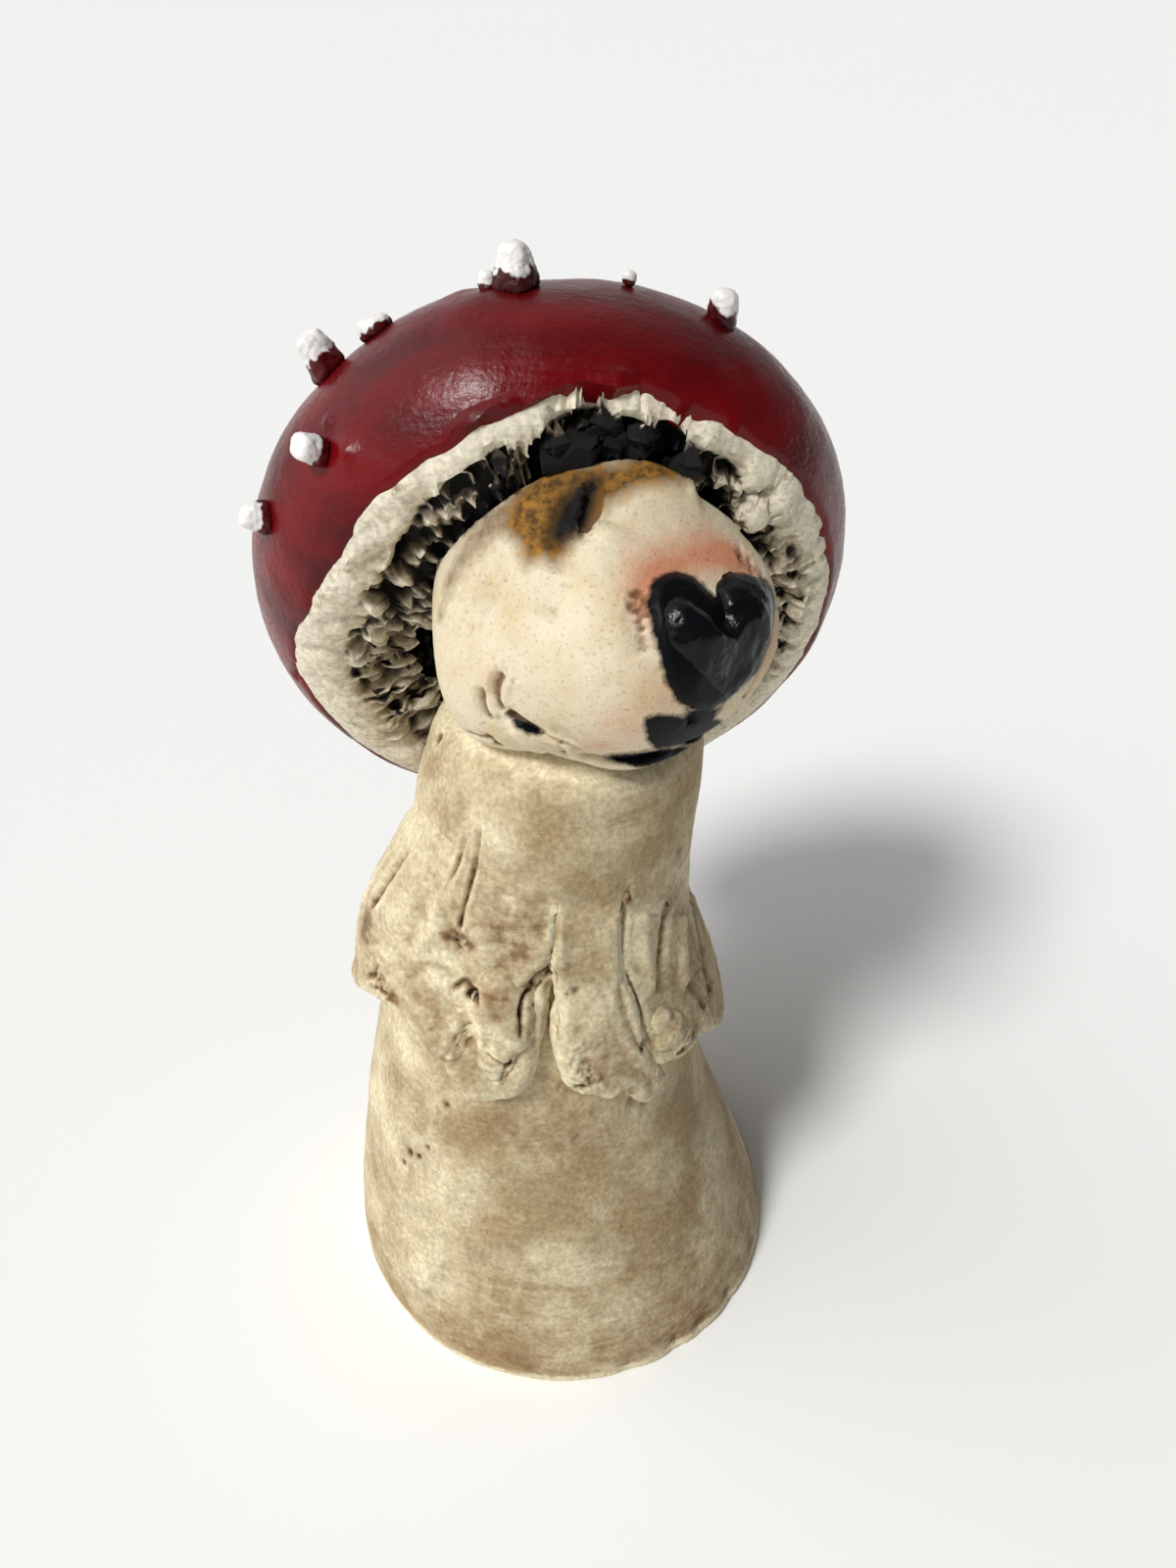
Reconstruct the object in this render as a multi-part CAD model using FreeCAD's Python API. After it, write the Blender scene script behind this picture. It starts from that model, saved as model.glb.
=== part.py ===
import FreeCAD, Part
import math
import os

from FreeCAD import Matrix, Rotation, Vector

# Hand-built stoneware mushroom with a dog's head under its cap.
# Millimetres. The origin is the middle of the resting face, +Z is up and -Y is the front.

# Stem
stem_height = 118.0
stem_floor_radius = 39.4
stem_neck_radius = 21.2
stem_lean = -5.1
stem_wall = 7.0
stem_roof = 5.0
base_thickness = 7.0
base_edge_chamfer = 1.2
vent_diameter = 1.4
vent_drop = 5.5

# Skirt, its heights measured down from the top of the neck
skirt_drop = 68.0
skirt_depth = 58.0
skirt_reach = 31.0
skirt_axis_offset = -3.4
skirt_root_radius = 17.0
skirt_edge_thickness = 2.6
skirt_feather = 0.6
tongue_reach = 29.3
strip_reach = 28.2
pinch_height = 19.0
pinch_width = 9.5
pinch_depth = 5.0
curl_length = 9.0
curl_thickness = 5.2
ball_diameter = 7.6

# Head, measured from the middle of the skull, which stands above the neck
head_lift = 20.0
head_offset = 1.0
head_length = 55.0
skull_half_width = 21.0
skull_rise = 18.9
skull_drop = 21.4
eye_hollow_length = 10.0
eye_hollow_width = 7.5
eye_hollow_depth = 3.0
eye_forward = 13.0
eye_rise = 14.6
eye_spread = 11.6
jaw_length = 34.0
jaw_width = 27.0
jaw_thickness = 5.0
jaw_forward = 7.5
nose_width = 17.0
nose_height = 15.0
nose_depth = 7.5
nose_forward = 25.5
nose_rise = 1.0

# Cap, a bonnet tipped back with its opening towards the viewer
cap_half_width = 44.5
cap_half_height = 47.3
cap_half_depth = 28.4
cap_shell_thickness = 3.2
cap_lining_thickness = 6.4
cap_centre_right = -0.8
cap_centre_back = 18.6
cap_centre_lift = 10.3
rim_setback = 13.0
lip_projection = 2.6
lip_inset = 0.3
gill_depth = 2.8
gill_width = 1.7
gill_lip_margin = 5.5
post_start_radius = 12.0
post_end_radius = 16.5
post_clearance = 1.0

# Warts
wart_radius = 2.6
wart_height = 5.2
wart_root = 2.0

# One overrun serves every cut
overrun = 2.0

# Angles in degrees
head_turn = 40.0
head_dip = 3.0
cap_tilt = 24.0
rim_tilt = 21.0
cap_turn = -8.0
vent_azimuth = 219.0

gill_count = 28

# Stem stations: height, how much of the flare is left, and how much of the lean has built up
stem_station_shares = (
    (0.0, 1.0, 0.0),
    (0.085, 0.912, 0.33),
    (0.186, 0.753, 0.62),
    (0.28, 0.593, 0.85),
    (0.373, 0.445, 1.0),
    (0.49, 0.308, 0.89),
    (0.644, 0.154, 0.53),
    (0.805, 0.044, 0.22),
    (0.907, 0.008, -0.04),
    (0.968, -0.02, -0.04),
    (1.0, -0.10, -0.04),
)

# Skirt flaps: azimuth in degrees, then top height, hem height and reach
left_lappet_shares = (
    (151.0, 0.62, 0.22, 0.96),
    (175.0, 0.82, 0.24, 0.985),
    (203.0, 0.92, 0.35, 1.0),
    (222.0, 0.94, 0.41, 0.99),
    (238.0, 0.92, 0.38, 0.985),
    (252.0, 0.88, 0.41, 0.97),
    (264.0, 0.84, 0.52, 0.94),
    (274.0, 0.82, 0.70, 0.88),
)
front_lappet_shares = (
    (277.5, 0.83, 0.29, 0.955),
    (285.0, 0.82, 0.25, 0.985),
    (295.0, 0.80, 0.21, 1.0),
    (304.0, 0.77, 0.17, 0.985),
    (312.0, 0.74, 0.25, 0.95),
)
right_lappet_shares = (
    (313.0, 0.72, 0.27, 0.945),
    (322.0, 0.66, 0.22, 0.965),
    (338.0, 0.60, 0.15, 1.0),
    (352.0, 0.55, 0.12, 0.995),
    (369.0, 0.50, 0.14, 0.97),
)
back_right_lappet_shares = (
    (370.5, 0.50, 0.16, 0.965),
    (392.0, 0.49, 0.12, 0.985),
    (416.0, 0.50, 0.19, 0.96),
    (438.0, 0.51, 0.15, 0.95),
)
back_left_lappet_shares = (
    (439.5, 0.51, 0.16, 0.95),
    (460.0, 0.52, 0.13, 0.97),
    (484.0, 0.54, 0.20, 0.965),
    (509.5, 0.61, 0.21, 0.955),
)
tongue_shares = (
    (239.0, 0.45, 0.31, 0.95),
    (245.0, 0.50, 0.225, 0.99),
    (256.0, 0.52, 0.19, 1.0),
    (265.0, 0.52, 0.215, 0.99),
    (271.0, 0.49, 0.34, 0.95),
)
inner_strip_shares = (
    (264.0, 0.60, 0.34, 0.97),
    (269.5, 0.70, 0.34, 1.0),
    (276.0, 0.78, 0.40, 0.96),
)

# The lumps on the skirt: azimuth in degrees, height on the skirt and reach
pinch_place_shares = (258.0, 0.44, 0.935)
curl_place_shares = (243.5, 0.385, 0.955)
ball_place_shares = (319.5, 0.275, 0.91)

# Head stations from the back of the skull to the muzzle: place along the head, shift to the
# side, half width, rise above the middle, drop below it, and how square the corners are above
# and below
head_station_shares = (
    (-0.40, 0.66, 0.46, 0.45, 0.50, 0.68, 0.74),
    (-0.22, 0.28, 0.74, 0.87, 0.88, 0.64, 0.84),
    (-0.02, 0.04, 0.95, 1.00, 1.00, 0.62, 0.88),
    (0.16, 0.0, 0.95, 0.90, 0.97, 0.65, 0.86),
    (0.33, 0.0, 0.86, 0.68, 0.81, 0.72, 0.79),
    (0.46, 0.0, 0.72, 0.48, 0.68, 0.76, 0.76),
    (0.545, 0.0, 0.50, 0.28, 0.50, 0.74, 0.74),
    (0.58, 0.0, 0.28, 0.12, 0.30, 0.72, 0.72),
)

# Outline of the nose pad, from its middle: half widths and half heights
nose_outline_shares = (
    (0.0, 0.72), (0.55, 1.0), (0.97, 0.70), (0.92, 0.05), (0.50, -0.62),
    (0.0, -1.0), (-0.50, -0.62), (-0.92, 0.05), (-0.97, 0.70), (-0.55, 1.0),
)
nose_layer_shares = ((0.0, 1.0), (0.62, 0.97), (1.0, 0.62))

# Outline of the lower jaw seen from above: half lengths forward and half widths
jaw_outline_shares = (
    (1.0, 0.0), (0.80, 0.62), (0.30, 0.96), (-0.45, 0.98),
    (-1.0, 0.0), (-0.45, -0.98), (0.30, -0.96), (0.80, -0.62),
)
jaw_layer_shares = ((0.0, 0.88), (0.45, 0.98), (1.0, 1.0))

# Warts: degrees round from the top, degrees towards the back, root radius, tip radius, height,
# and how far the axis leans from square to the cap towards straight up
wart_shares = {
    "wart_crown": (-7.0, 14.0, 1.35, 0.50, 0.95, 0.7),
    "wart_crown_ridge": (-11.5, 15.0, 0.62, 0.25, 0.42, 0.2),
    "wart_right": (28.0, 8.0, 0.66, 0.62, 0.72, 0.8),
    "wart_top_small": (12.0, 16.0, 0.40, 0.28, 0.30, 0.1),
    "wart_upper_left_peg": (-44.0, 17.0, 1.05, 0.62, 1.0, 0.3),
    "wart_upper_left_patch": (-33.0, 20.0, 0.95, 0.72, 0.34, 0.3),
    "wart_front_left": (-45.5, -12.5, 0.72, 0.62, 0.66, 0.0),
    "wart_left_thorn": (-65.0, -9.0, 1.15, 0.45, 0.62, 0.0),
    "wart_back_high": (-18.0, 52.0, 1.0, 0.62, 0.7, 0.0),
    "wart_back_left": (-70.0, 40.0, 0.9, 0.6, 0.75, 0.1),
    "wart_back_right": (62.0, 34.0, 1.1, 0.6, 0.9, 0.15),
    "wart_back_low": (-150.0, 48.0, 0.85, 0.6, 0.7, 0.0),
    "wart_back_middle": (40.0, 68.0, 1.2, 0.75, 0.8, 0.1),
}
wart_ring_shares = (1.0, 0.90, 1.06, 0.94, 1.08, 0.92, 1.0, 0.88)
wart_layer_shares = ((0.0, 0.0), (0.35, 0.35), (0.75, 0.7), (1.0, 1.0))


def closed_wire(points):
    """Smooth closed wire through the points."""
    curve = Part.BSplineCurve()
    curve.interpolate(Points=points, PeriodicFlag=True)
    return Part.Wire([curve.toShape()])


def ellipsoid(half_sizes, frame):
    """Ellipsoid with its half sizes along the axes of a frame given as a placement matrix."""
    scale = Matrix()
    scale.scale(half_sizes)
    return Part.makeSphere(1).transformGeometry(frame.multiply(scale))


def frame_matrix(origin, along_x, along_y, along_z):
    """Matrix that carries the axes of a local frame to three directions at an origin."""
    return Matrix(
        along_x.x, along_y.x, along_z.x, origin.x,
        along_x.y, along_y.y, along_z.y, origin.y,
        along_x.z, along_y.z, along_z.z, origin.z,
        0, 0, 0, 1,
    )


def polar(azimuth, radius, height):
    """Point at an azimuth about the skirt's own upright axis."""
    angle = math.radians(azimuth)
    return Vector(skirt_axis_offset + radius * math.cos(angle), radius * math.sin(angle), height)


def between(low, high, share):
    """Value at a share of the way from low to high."""
    return low + (high - low) * share


def stem_at(height):
    """Middle and radius of the stem at a height."""
    share = height / stem_height
    for below, above in zip(stem_station_shares, stem_station_shares[1:]):
        if share <= above[0]:
            break
    part = (share - below[0]) / (above[0] - below[0])
    flare = between(below[1], above[1], part)
    lean = between(below[2], above[2], part)
    return stem_lean * lean, between(stem_neck_radius, stem_floor_radius, flare)


def stem_solid(inset):
    """Stem form, drawn in by an inset all round."""
    wires = []
    for height_share, flare_share, lean_share in stem_station_shares:
        radius = between(stem_neck_radius, stem_floor_radius, flare_share) - inset
        centre = Vector(stem_lean * lean_share, 0, stem_height * height_share)
        wires.append(Part.Wire([Part.Circle(centre, Vector(0, 0, 1), radius).toShape()]))
    return Part.makeLoft(wires, True, False)


def slice_between(shape, low, high):
    """Part of a shape between two heights."""
    side = stem_floor_radius + overrun
    box = Part.makeBox(side + side, side + side, high - low, Vector(-side, -side, low))
    return shape.common(box)


def make_base_slab(stem_full):
    """Floor of the stem with its worn bottom edge."""
    slab = slice_between(stem_full, 0, base_thickness)
    bottom = [edge for edge in slab.Edges if edge.BoundBox.ZMax < base_thickness / 2]
    return slab.makeChamfer(base_edge_chamfer, bottom)


def make_stem_body(stem_full):
    """Hollow wall of the stem, closed above by a roof and pierced by the vent."""
    cavity = slice_between(stem_solid(stem_wall), base_thickness, stem_height - stem_roof)
    wall = slice_between(stem_full, base_thickness, stem_height).cut(cavity)
    angle = math.radians(vent_azimuth)
    outward = Vector(math.cos(angle), math.sin(angle), 0)
    height = stem_height - vent_drop
    centre_x, radius = stem_at(height)
    inside = Vector(centre_x, 0, height) + outward * (radius - stem_wall - overrun)
    vent = Part.makeCylinder(vent_diameter / 2, stem_wall + overrun + overrun, inside, outward)
    return wall.cut(vent)


def stem_edge(azimuth, height):
    """Distance from the skirt's axis to the stem's surface."""
    centre_x, radius = stem_at(height)
    return radius + (centre_x - skirt_axis_offset) * math.cos(math.radians(azimuth))


def skirt_height(share):
    """Height of a place on the skirt, its share counted up from the lowest hem."""
    return stem_height - skirt_drop + skirt_depth * share


def lappet_section(azimuth, top_share, hem_share, reach):
    """Upright section of a flap: a flared face, a thick hem and an underside that runs inwards."""
    top, hem = skirt_height(top_share), skirt_height(hem_share)
    start = stem_edge(azimuth, top) - skirt_feather
    swell_shares = ((0.30, 0.42), (0.58, 0.84), (0.80, 1.0))
    face = [polar(azimuth, start, top)]
    for down_share, out_share in swell_shares:
        face.append(polar(azimuth, between(start, reach, out_share), between(top, hem, down_share)))
    face.append(polar(azimuth, reach - skirt_edge_thickness / 2, hem))
    front = Part.BSplineCurve()
    front.interpolate(Points=face)
    under = polar(azimuth, skirt_root_radius, hem + skirt_edge_thickness)
    inner = polar(azimuth, skirt_root_radius, top)
    edges = [front.toShape(), Part.makeLine(face[-1], under), Part.makeLine(under, inner)]
    edges.append(Part.makeLine(inner, face[0]))
    return Part.Wire(edges)


def make_lappet(stations, reach, cutters):
    """Flap through upright sections, cut back to what it is pressed against."""
    wires = []
    for azimuth, top_share, hem_share, reach_share in stations:
        wires.append(lappet_section(azimuth, top_share, hem_share, reach * reach_share))
    return trimmed(Part.makeLoft(wires, True, False), cutters)


def trimmed(shape, cutters):
    """Largest solid of a shape after its neighbours are taken out of it."""
    for cutter in cutters:
        shape = shape.cut(cutter)
    solids = sorted(shape.Solids, key=lambda solid: solid.Volume)
    return solids[-1]


def make_lump(place, half_sizes, cutters):
    """Rounded lump on the skirt, its half sizes given across, outwards and upwards."""
    azimuth, height_share, reach_share = place
    angle = math.radians(azimuth)
    outward = Vector(math.cos(angle), math.sin(angle), 0)
    across = Vector(-math.sin(angle), math.cos(angle), 0)
    centre = polar(azimuth, skirt_reach * reach_share, skirt_height(height_share))
    frame = frame_matrix(centre, across, outward, Vector(0, 0, 1))
    return trimmed(ellipsoid(half_sizes, frame), cutters)


def head_axes():
    """Middle of the skull and the head's forward, side and up directions."""
    turn, dip = math.radians(head_turn), math.radians(head_dip)
    forward = Vector(math.sin(turn) * math.cos(dip), -math.cos(turn) * math.cos(dip), -math.sin(dip))
    side = Vector(math.cos(turn), math.sin(turn), 0)
    return Vector(head_offset, 0, stem_height + head_lift), forward, side, forward.cross(side)


def make_skull():
    """Egg-shaped head from the back of the skull to the blunt muzzle."""
    centre, forward, side, up = head_axes()
    wires = []
    for row in head_station_shares:
        place_share, shift_share, width_share, rise_share, drop_share, above_share, below_share = row
        origin = centre + forward * (head_length * place_share)
        origin = origin + side * (skull_half_width * shift_share)
        half = skull_half_width * width_share
        high, low = skull_rise * rise_share, skull_drop * drop_share
        out_above, up_above = half * above_share, high * above_share
        out_below, down_below = half * below_share, low * below_share
        ring = (
            (half, 0), (out_above, up_above), (0, high), (-out_above, up_above),
            (-half, 0), (-out_below, -down_below), (0, -low), (out_below, -down_below),
        )
        wires.append(closed_wire([origin + side * across + up * lift for across, lift in ring]))
    return Part.makeLoft(wires, True, False)


def make_eye_hollow(hand):
    """Shallow hollow pressed into the skull for an eye, on the side given by hand."""
    centre, forward, side, up = head_axes()
    place = centre + forward * eye_forward + up * eye_rise + side * (eye_spread * hand)
    inward = (side * (-hand * eye_spread) - up * eye_rise).normalize()
    along = (up.cross(inward)).normalize()
    frame = frame_matrix(place, along, inward.cross(along), inward)
    return ellipsoid(Vector(eye_hollow_length / 2, eye_hollow_width / 2, eye_hollow_depth), frame)


def make_lower_jaw():
    """Thin jaw that lies on the neck and reaches forward under the muzzle."""
    centre, forward, side, up = head_axes()
    level_forward = Vector(forward.x, forward.y, 0).normalize()
    middle = Vector(centre.x, centre.y, stem_height) + level_forward * jaw_forward
    wires = []
    for height_share, size_share in jaw_layer_shares:
        lift = Vector(0, 0, jaw_thickness * height_share)
        points = []
        for length_share, width_share in jaw_outline_shares:
            along = level_forward * (jaw_length / 2 * length_share * size_share)
            points.append(middle + lift + along + side * (jaw_width / 2 * width_share * size_share))
        wires.append(closed_wire(points))
    return Part.makeLoft(wires, True, False)


def make_nose_pad(skull):
    """Heart-shaped pad on the front of the muzzle."""
    centre, forward, side, up = head_axes()
    wires = []
    for depth_share, size_share in nose_layer_shares:
        origin = centre + forward * (nose_forward + nose_depth * depth_share) + up * nose_rise
        points = []
        for width_share, height_share in nose_outline_shares:
            across = side * (nose_width / 2 * width_share * size_share)
            points.append(origin + across + up * (nose_height / 2 * height_share * size_share))
        wires.append(closed_wire(points))
    return trimmed(Part.makeLoft(wires, True, False), [skull])


def cap_direction(tilt_angle):
    """Direction from the opening to the back of the cap at a tilt from level."""
    tilt, turn = math.radians(tilt_angle), math.radians(cap_turn)
    return Vector(math.cos(tilt) * math.sin(turn), math.cos(tilt) * math.cos(turn), math.sin(tilt))


def cap_axes():
    """Middle of the cap and its right, up and back directions."""
    back, turn = cap_direction(cap_tilt), math.radians(cap_turn)
    right = Vector(math.cos(turn), -math.sin(turn), 0)
    centre = Vector(cap_centre_right, cap_centre_back, stem_height + cap_centre_lift)
    return centre, right, back.cross(right) * -1, back


def cap_form(inset):
    """Full bonnet form, drawn in by an inset, with nothing cut from its front."""
    half = Vector(cap_half_width - inset, cap_half_height - inset, cap_half_depth - inset)
    centre, right, up, back = cap_axes()
    return ellipsoid(half, frame_matrix(centre, right, up, back))


def behind_rim(setback):
    """Everything behind a plane across the opening, at a distance in front of the cap's middle."""
    centre, right, up, back = cap_axes()
    across_rim = cap_direction(rim_tilt)
    radius = cap_half_height + setback + overrun
    depth = setback + cap_half_height + overrun
    return Part.makeCylinder(radius, depth, centre - across_rim * setback, across_rim)


def make_cap_shell(stem_full):
    """Red outer shell of the cap."""
    shell = cap_form(0).cut(cap_form(cap_shell_thickness)).common(behind_rim(rim_setback))
    return trimmed(shell, [stem_full])


def make_gill_cutter():
    """Radial grooves between the gills, kept clear of the lip and of the post."""
    centre, right, up, back = cap_axes()
    upright = FreeCAD.Placement(centre, Rotation(right, up, back * -1, "XYZ"))
    hub_radius = post_end_radius + post_clearance
    grooves = []
    for index in range(gill_count):
        turned = FreeCAD.Placement(Vector(0, 0, 0), Rotation(Vector(0, 0, 1), 360.0 * index / gill_count))
        blade = Part.makeBox(
            cap_half_height, gill_width, cap_half_depth + cap_half_depth,
            Vector(hub_radius, -gill_width / 2, -cap_half_depth),
        )
        blade.Placement = upright.multiply(turned)
        grooves.append(blade)
    floor = cap_form(cap_shell_thickness + cap_lining_thickness - gill_depth)
    return Part.makeCompound(grooves).common(floor).common(behind_rim(rim_setback - gill_lip_margin))


def make_lining_blank(stem_full):
    """Clay lining of the cap with its lip, before the gills are carved."""
    inner = cap_form(cap_shell_thickness + cap_lining_thickness)
    behind = cap_form(cap_shell_thickness).common(behind_rim(rim_setback))
    lip = cap_form(lip_inset).common(behind_rim(rim_setback + lip_projection)).cut(behind_rim(rim_setback))
    return trimmed(behind.fuse(lip), [inner, stem_full])


def make_cap_post(cutters):
    """Stub of clay that carries the cap from the neck and the back of the head."""
    centre, right, up, back = cap_axes()
    start = Vector(head_offset, 0, stem_height)
    length = (centre - start).Length + cap_half_depth
    post = Part.makeCone(post_start_radius, post_end_radius, length, start, back)
    inner = cap_form(cap_shell_thickness + cap_lining_thickness)
    return trimmed(post.common(inner), cutters)


def make_wart(row, cutters):
    """Irregular peg that stands on the cap."""
    around, towards_back, root_share, tip_share, height_share, upright_share = row
    centre, right, up, back = cap_axes()
    lon, lat = math.radians(around), math.radians(towards_back)
    unit = (math.sin(lon) * math.cos(lat), math.cos(lon) * math.cos(lat), math.sin(lat))
    half = (cap_half_width, cap_half_height, cap_half_depth)
    axes = (right, up, back)
    foot, normal = centre, Vector(0, 0, 0)
    for value, size, axis in zip(unit, half, axes):
        foot = foot + axis * (value * size)
        normal = normal + axis * (value / size)
    square, upright = normal.normalize(), Vector(0, 0, 1)
    axis = (square + (upright - square) * upright_share).normalize()
    across = axis.cross(back if abs(axis.dot(back)) < abs(axis.dot(right)) else right).normalize()
    over = axis.cross(across)
    start = foot - axis * wart_root
    length = wart_root + wart_height * height_share
    wires = []
    for place_share, taper_share in wart_layer_shares:
        radius = wart_radius * between(root_share, tip_share, taper_share)
        points = []
        for index, ring_share in enumerate(wart_ring_shares):
            angle = math.tau * index / len(wart_ring_shares)
            spoke = across * math.cos(angle) + over * math.sin(angle)
            points.append(start + axis * (length * place_share) + spoke * (radius * ring_share))
        wires.append(closed_wire(points))
    return trimmed(Part.makeLoft(wires, True, False), cutters)


def build_skirt(stem_full, cap_full):
    """All flaps and lumps of the skirt, each cut back to the ones below it."""
    base = [stem_full, cap_full]
    left = make_lappet(left_lappet_shares, skirt_reach, base)
    front = make_lappet(front_lappet_shares, skirt_reach, base)
    right = make_lappet(right_lappet_shares, skirt_reach, base)
    tongue = make_lappet(tongue_shares, tongue_reach, base + [left])
    strip = make_lappet(inner_strip_shares, strip_reach, base + [left, tongue])
    pinch_half = Vector(pinch_width / 2, pinch_depth, pinch_height / 2)
    curl_half = Vector(curl_length / 2, curl_thickness / 2, curl_thickness / 2)
    ball_half = Vector(ball_diameter / 2, ball_diameter / 2, ball_diameter / 2)
    pinch = make_lump(pinch_place_shares, pinch_half, base + [left, tongue, strip])
    curl = make_lump(curl_place_shares, curl_half, base + [left, tongue, pinch])
    ball = make_lump(ball_place_shares, ball_half, base + [front, right])
    return {
        "skirt_left_lappet": left,
        "skirt_front_lappet": front,
        "skirt_right_lappet": right,
        "skirt_back_right_lappet": make_lappet(back_right_lappet_shares, skirt_reach, base),
        "skirt_back_left_lappet": make_lappet(back_left_lappet_shares, skirt_reach, base),
        "skirt_tongue": tongue,
        "skirt_inner_strip": strip,
        "skirt_left_pinch": pinch,
        "skirt_left_curl": curl,
        "skirt_ball": ball,
    }


def build_head(stem_full, lining):
    """Head, lower jaw and nose, the head cut back where the cap's lining is pressed against it."""
    jaw = make_lower_jaw()
    head = trimmed(make_skull(), [make_eye_hollow(-1), make_eye_hollow(1), jaw, stem_full, lining])
    return {"head": head, "lower_jaw": jaw, "nose_pad": make_nose_pad(head)}


def build_cap(stem_full, lining, head_parts):
    """Cap shell, carved lining, post and warts."""
    cap_full = cap_form(0)
    carved = trimmed(lining, [make_gill_cutter()])
    post = make_cap_post([stem_full, head_parts["head"], head_parts["lower_jaw"]])
    parts = {"cap_shell": make_cap_shell(stem_full), "cap_lining": carved, "cap_post": post}
    warts = {}
    for name, row in wart_shares.items():
        warts[name] = make_wart(row, [cap_full] + list(warts.values()))
    parts.update(warts)
    return parts


def build():
    """Every node of the ornament by name."""
    stem_full = stem_solid(0)
    cap_outer = cap_form(0).common(behind_rim(rim_setback + lip_projection))
    parts = {"base_slab": make_base_slab(stem_full), "stem_body": make_stem_body(stem_full)}
    parts.update(build_skirt(stem_full, cap_outer))
    lining = make_lining_blank(stem_full)
    head_parts = build_head(stem_full, lining)
    parts.update(head_parts)
    parts.update(build_cap(stem_full, lining, head_parts))
    return parts


os.makedirs("parts", exist_ok=True)
for node, solid in build().items():
    solid.exportStep("parts/" + node + ".step")
    print(node, round(solid.Volume), solid.isValid(), len(solid.Solids))
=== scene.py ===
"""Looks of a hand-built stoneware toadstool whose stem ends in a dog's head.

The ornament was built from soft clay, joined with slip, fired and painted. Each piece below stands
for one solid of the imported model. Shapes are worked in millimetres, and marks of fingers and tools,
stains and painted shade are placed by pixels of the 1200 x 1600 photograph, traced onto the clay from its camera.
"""

import logging
import math
from dataclasses import dataclass, field
from enum import Enum

import bpy
import numpy as np
from mathutils.bvhtree import BVHTree
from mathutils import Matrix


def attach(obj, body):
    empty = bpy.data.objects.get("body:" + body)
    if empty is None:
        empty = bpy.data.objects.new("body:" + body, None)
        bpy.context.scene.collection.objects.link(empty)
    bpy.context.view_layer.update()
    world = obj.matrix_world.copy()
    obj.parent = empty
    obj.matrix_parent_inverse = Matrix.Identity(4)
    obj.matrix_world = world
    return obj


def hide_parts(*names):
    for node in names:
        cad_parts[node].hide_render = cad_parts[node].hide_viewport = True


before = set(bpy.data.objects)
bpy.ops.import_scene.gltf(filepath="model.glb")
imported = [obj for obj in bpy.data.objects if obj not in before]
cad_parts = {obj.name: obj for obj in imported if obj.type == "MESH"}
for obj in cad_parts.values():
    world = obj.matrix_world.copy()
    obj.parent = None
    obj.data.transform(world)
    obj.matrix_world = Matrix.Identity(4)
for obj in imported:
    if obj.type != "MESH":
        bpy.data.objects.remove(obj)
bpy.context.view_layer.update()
MM = 0.001
TINY = 1e-9
log = logging.getLogger("ornament")

# A line holds its pixels one after another: x, y, x, y.
Line = tuple[float, ...]


class Slot(Enum):
    """Material slots of the record."""

    BISQUE = "bisque_stoneware"
    CREAM = "cream_clay"
    HEAD = "painted_head"
    BLACK = "black_gloss_paint"
    RED = "red_gloss_paint"
    WART = "wart_paint"


class Mark(Enum):
    """Painted or worn areas, and painted shade, that a form carries for its finish."""

    HOLLOW = "hollow"
    # Stains, together with painted shade in gaps and hollows and where the cap shadows the head.
    STAIN_AND_SHADE = "stain"
    GOLDEN = "golden"
    DARK = "dark"
    BLACK = "black"
    BLUSH = "blush"
    PALE = "pale"
    TIP = "tip"


def linear(hex_colour: str) -> tuple[float, float, float, float]:
    """Turn an sRGB hex colour into linear light with full alpha."""
    shares = [int(hex_colour[place:place + 2], 16) / 255 for place in (1, 3, 5)]
    light = [s / 12.92 if s <= 0.04045 else ((s + 0.055) / 1.055) ** 2.4 for s in shares]
    return light[0], light[1], light[2], 1.0


def smoothstep(low: float, high: float, value: np.ndarray) -> np.ndarray:
    """Ease values from 0 at low to 1 at high."""
    share = np.clip((value - low) / (high - low), 0, 1)
    return share * share * (3 - 2 * share)


def bell(distance: np.ndarray, width: float) -> np.ndarray:
    """Hump that is 1 at no distance and has nearly gone at twice its width."""
    return np.exp(-(distance / width) ** 2)


def round_over(share: np.ndarray) -> np.ndarray:
    """Quarter circle that falls away from 0 to 1."""
    return 1 - np.sqrt(np.clip(1 - np.clip(share, 0, 1) ** 2, 0, 1))


def dots(first: np.ndarray, second: np.ndarray) -> np.ndarray:
    """Dot product of each pair of rows."""
    return np.einsum("ij,ij->i", first, second)


def norms(rows: np.ndarray) -> np.ndarray:
    """Length of each row."""
    return np.linalg.norm(rows, axis=1)


def pairs(line: Line) -> np.ndarray:
    """Pixels of a line, one in each row."""
    return np.array(line, float).reshape(-1, 2)


def through(places: np.ndarray, values: np.ndarray, at: np.ndarray) -> np.ndarray:
    """Read a smooth curve through stations.

    Args:
        places: Rising places of the stations.
        values: Value at each station.
        at: Places to read.

    Returns:
        The curve's values.
    """
    slopes = np.gradient(values, places)
    left = np.clip(np.searchsorted(places, at, side="right") - 1, 0, len(places) - 2)
    gap = places[left + 1] - places[left]
    share = (np.clip(at, places[0], places[-1]) - places[left]) / gap
    rise = share * share * (3 - 2 * share)
    start = share * (1 - share) ** 2 * gap * slopes[left]
    end = share * share * (share - 1) * gap * slopes[left + 1]
    return values[left] + (values[left + 1] - values[left]) * rise + start + end


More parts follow.
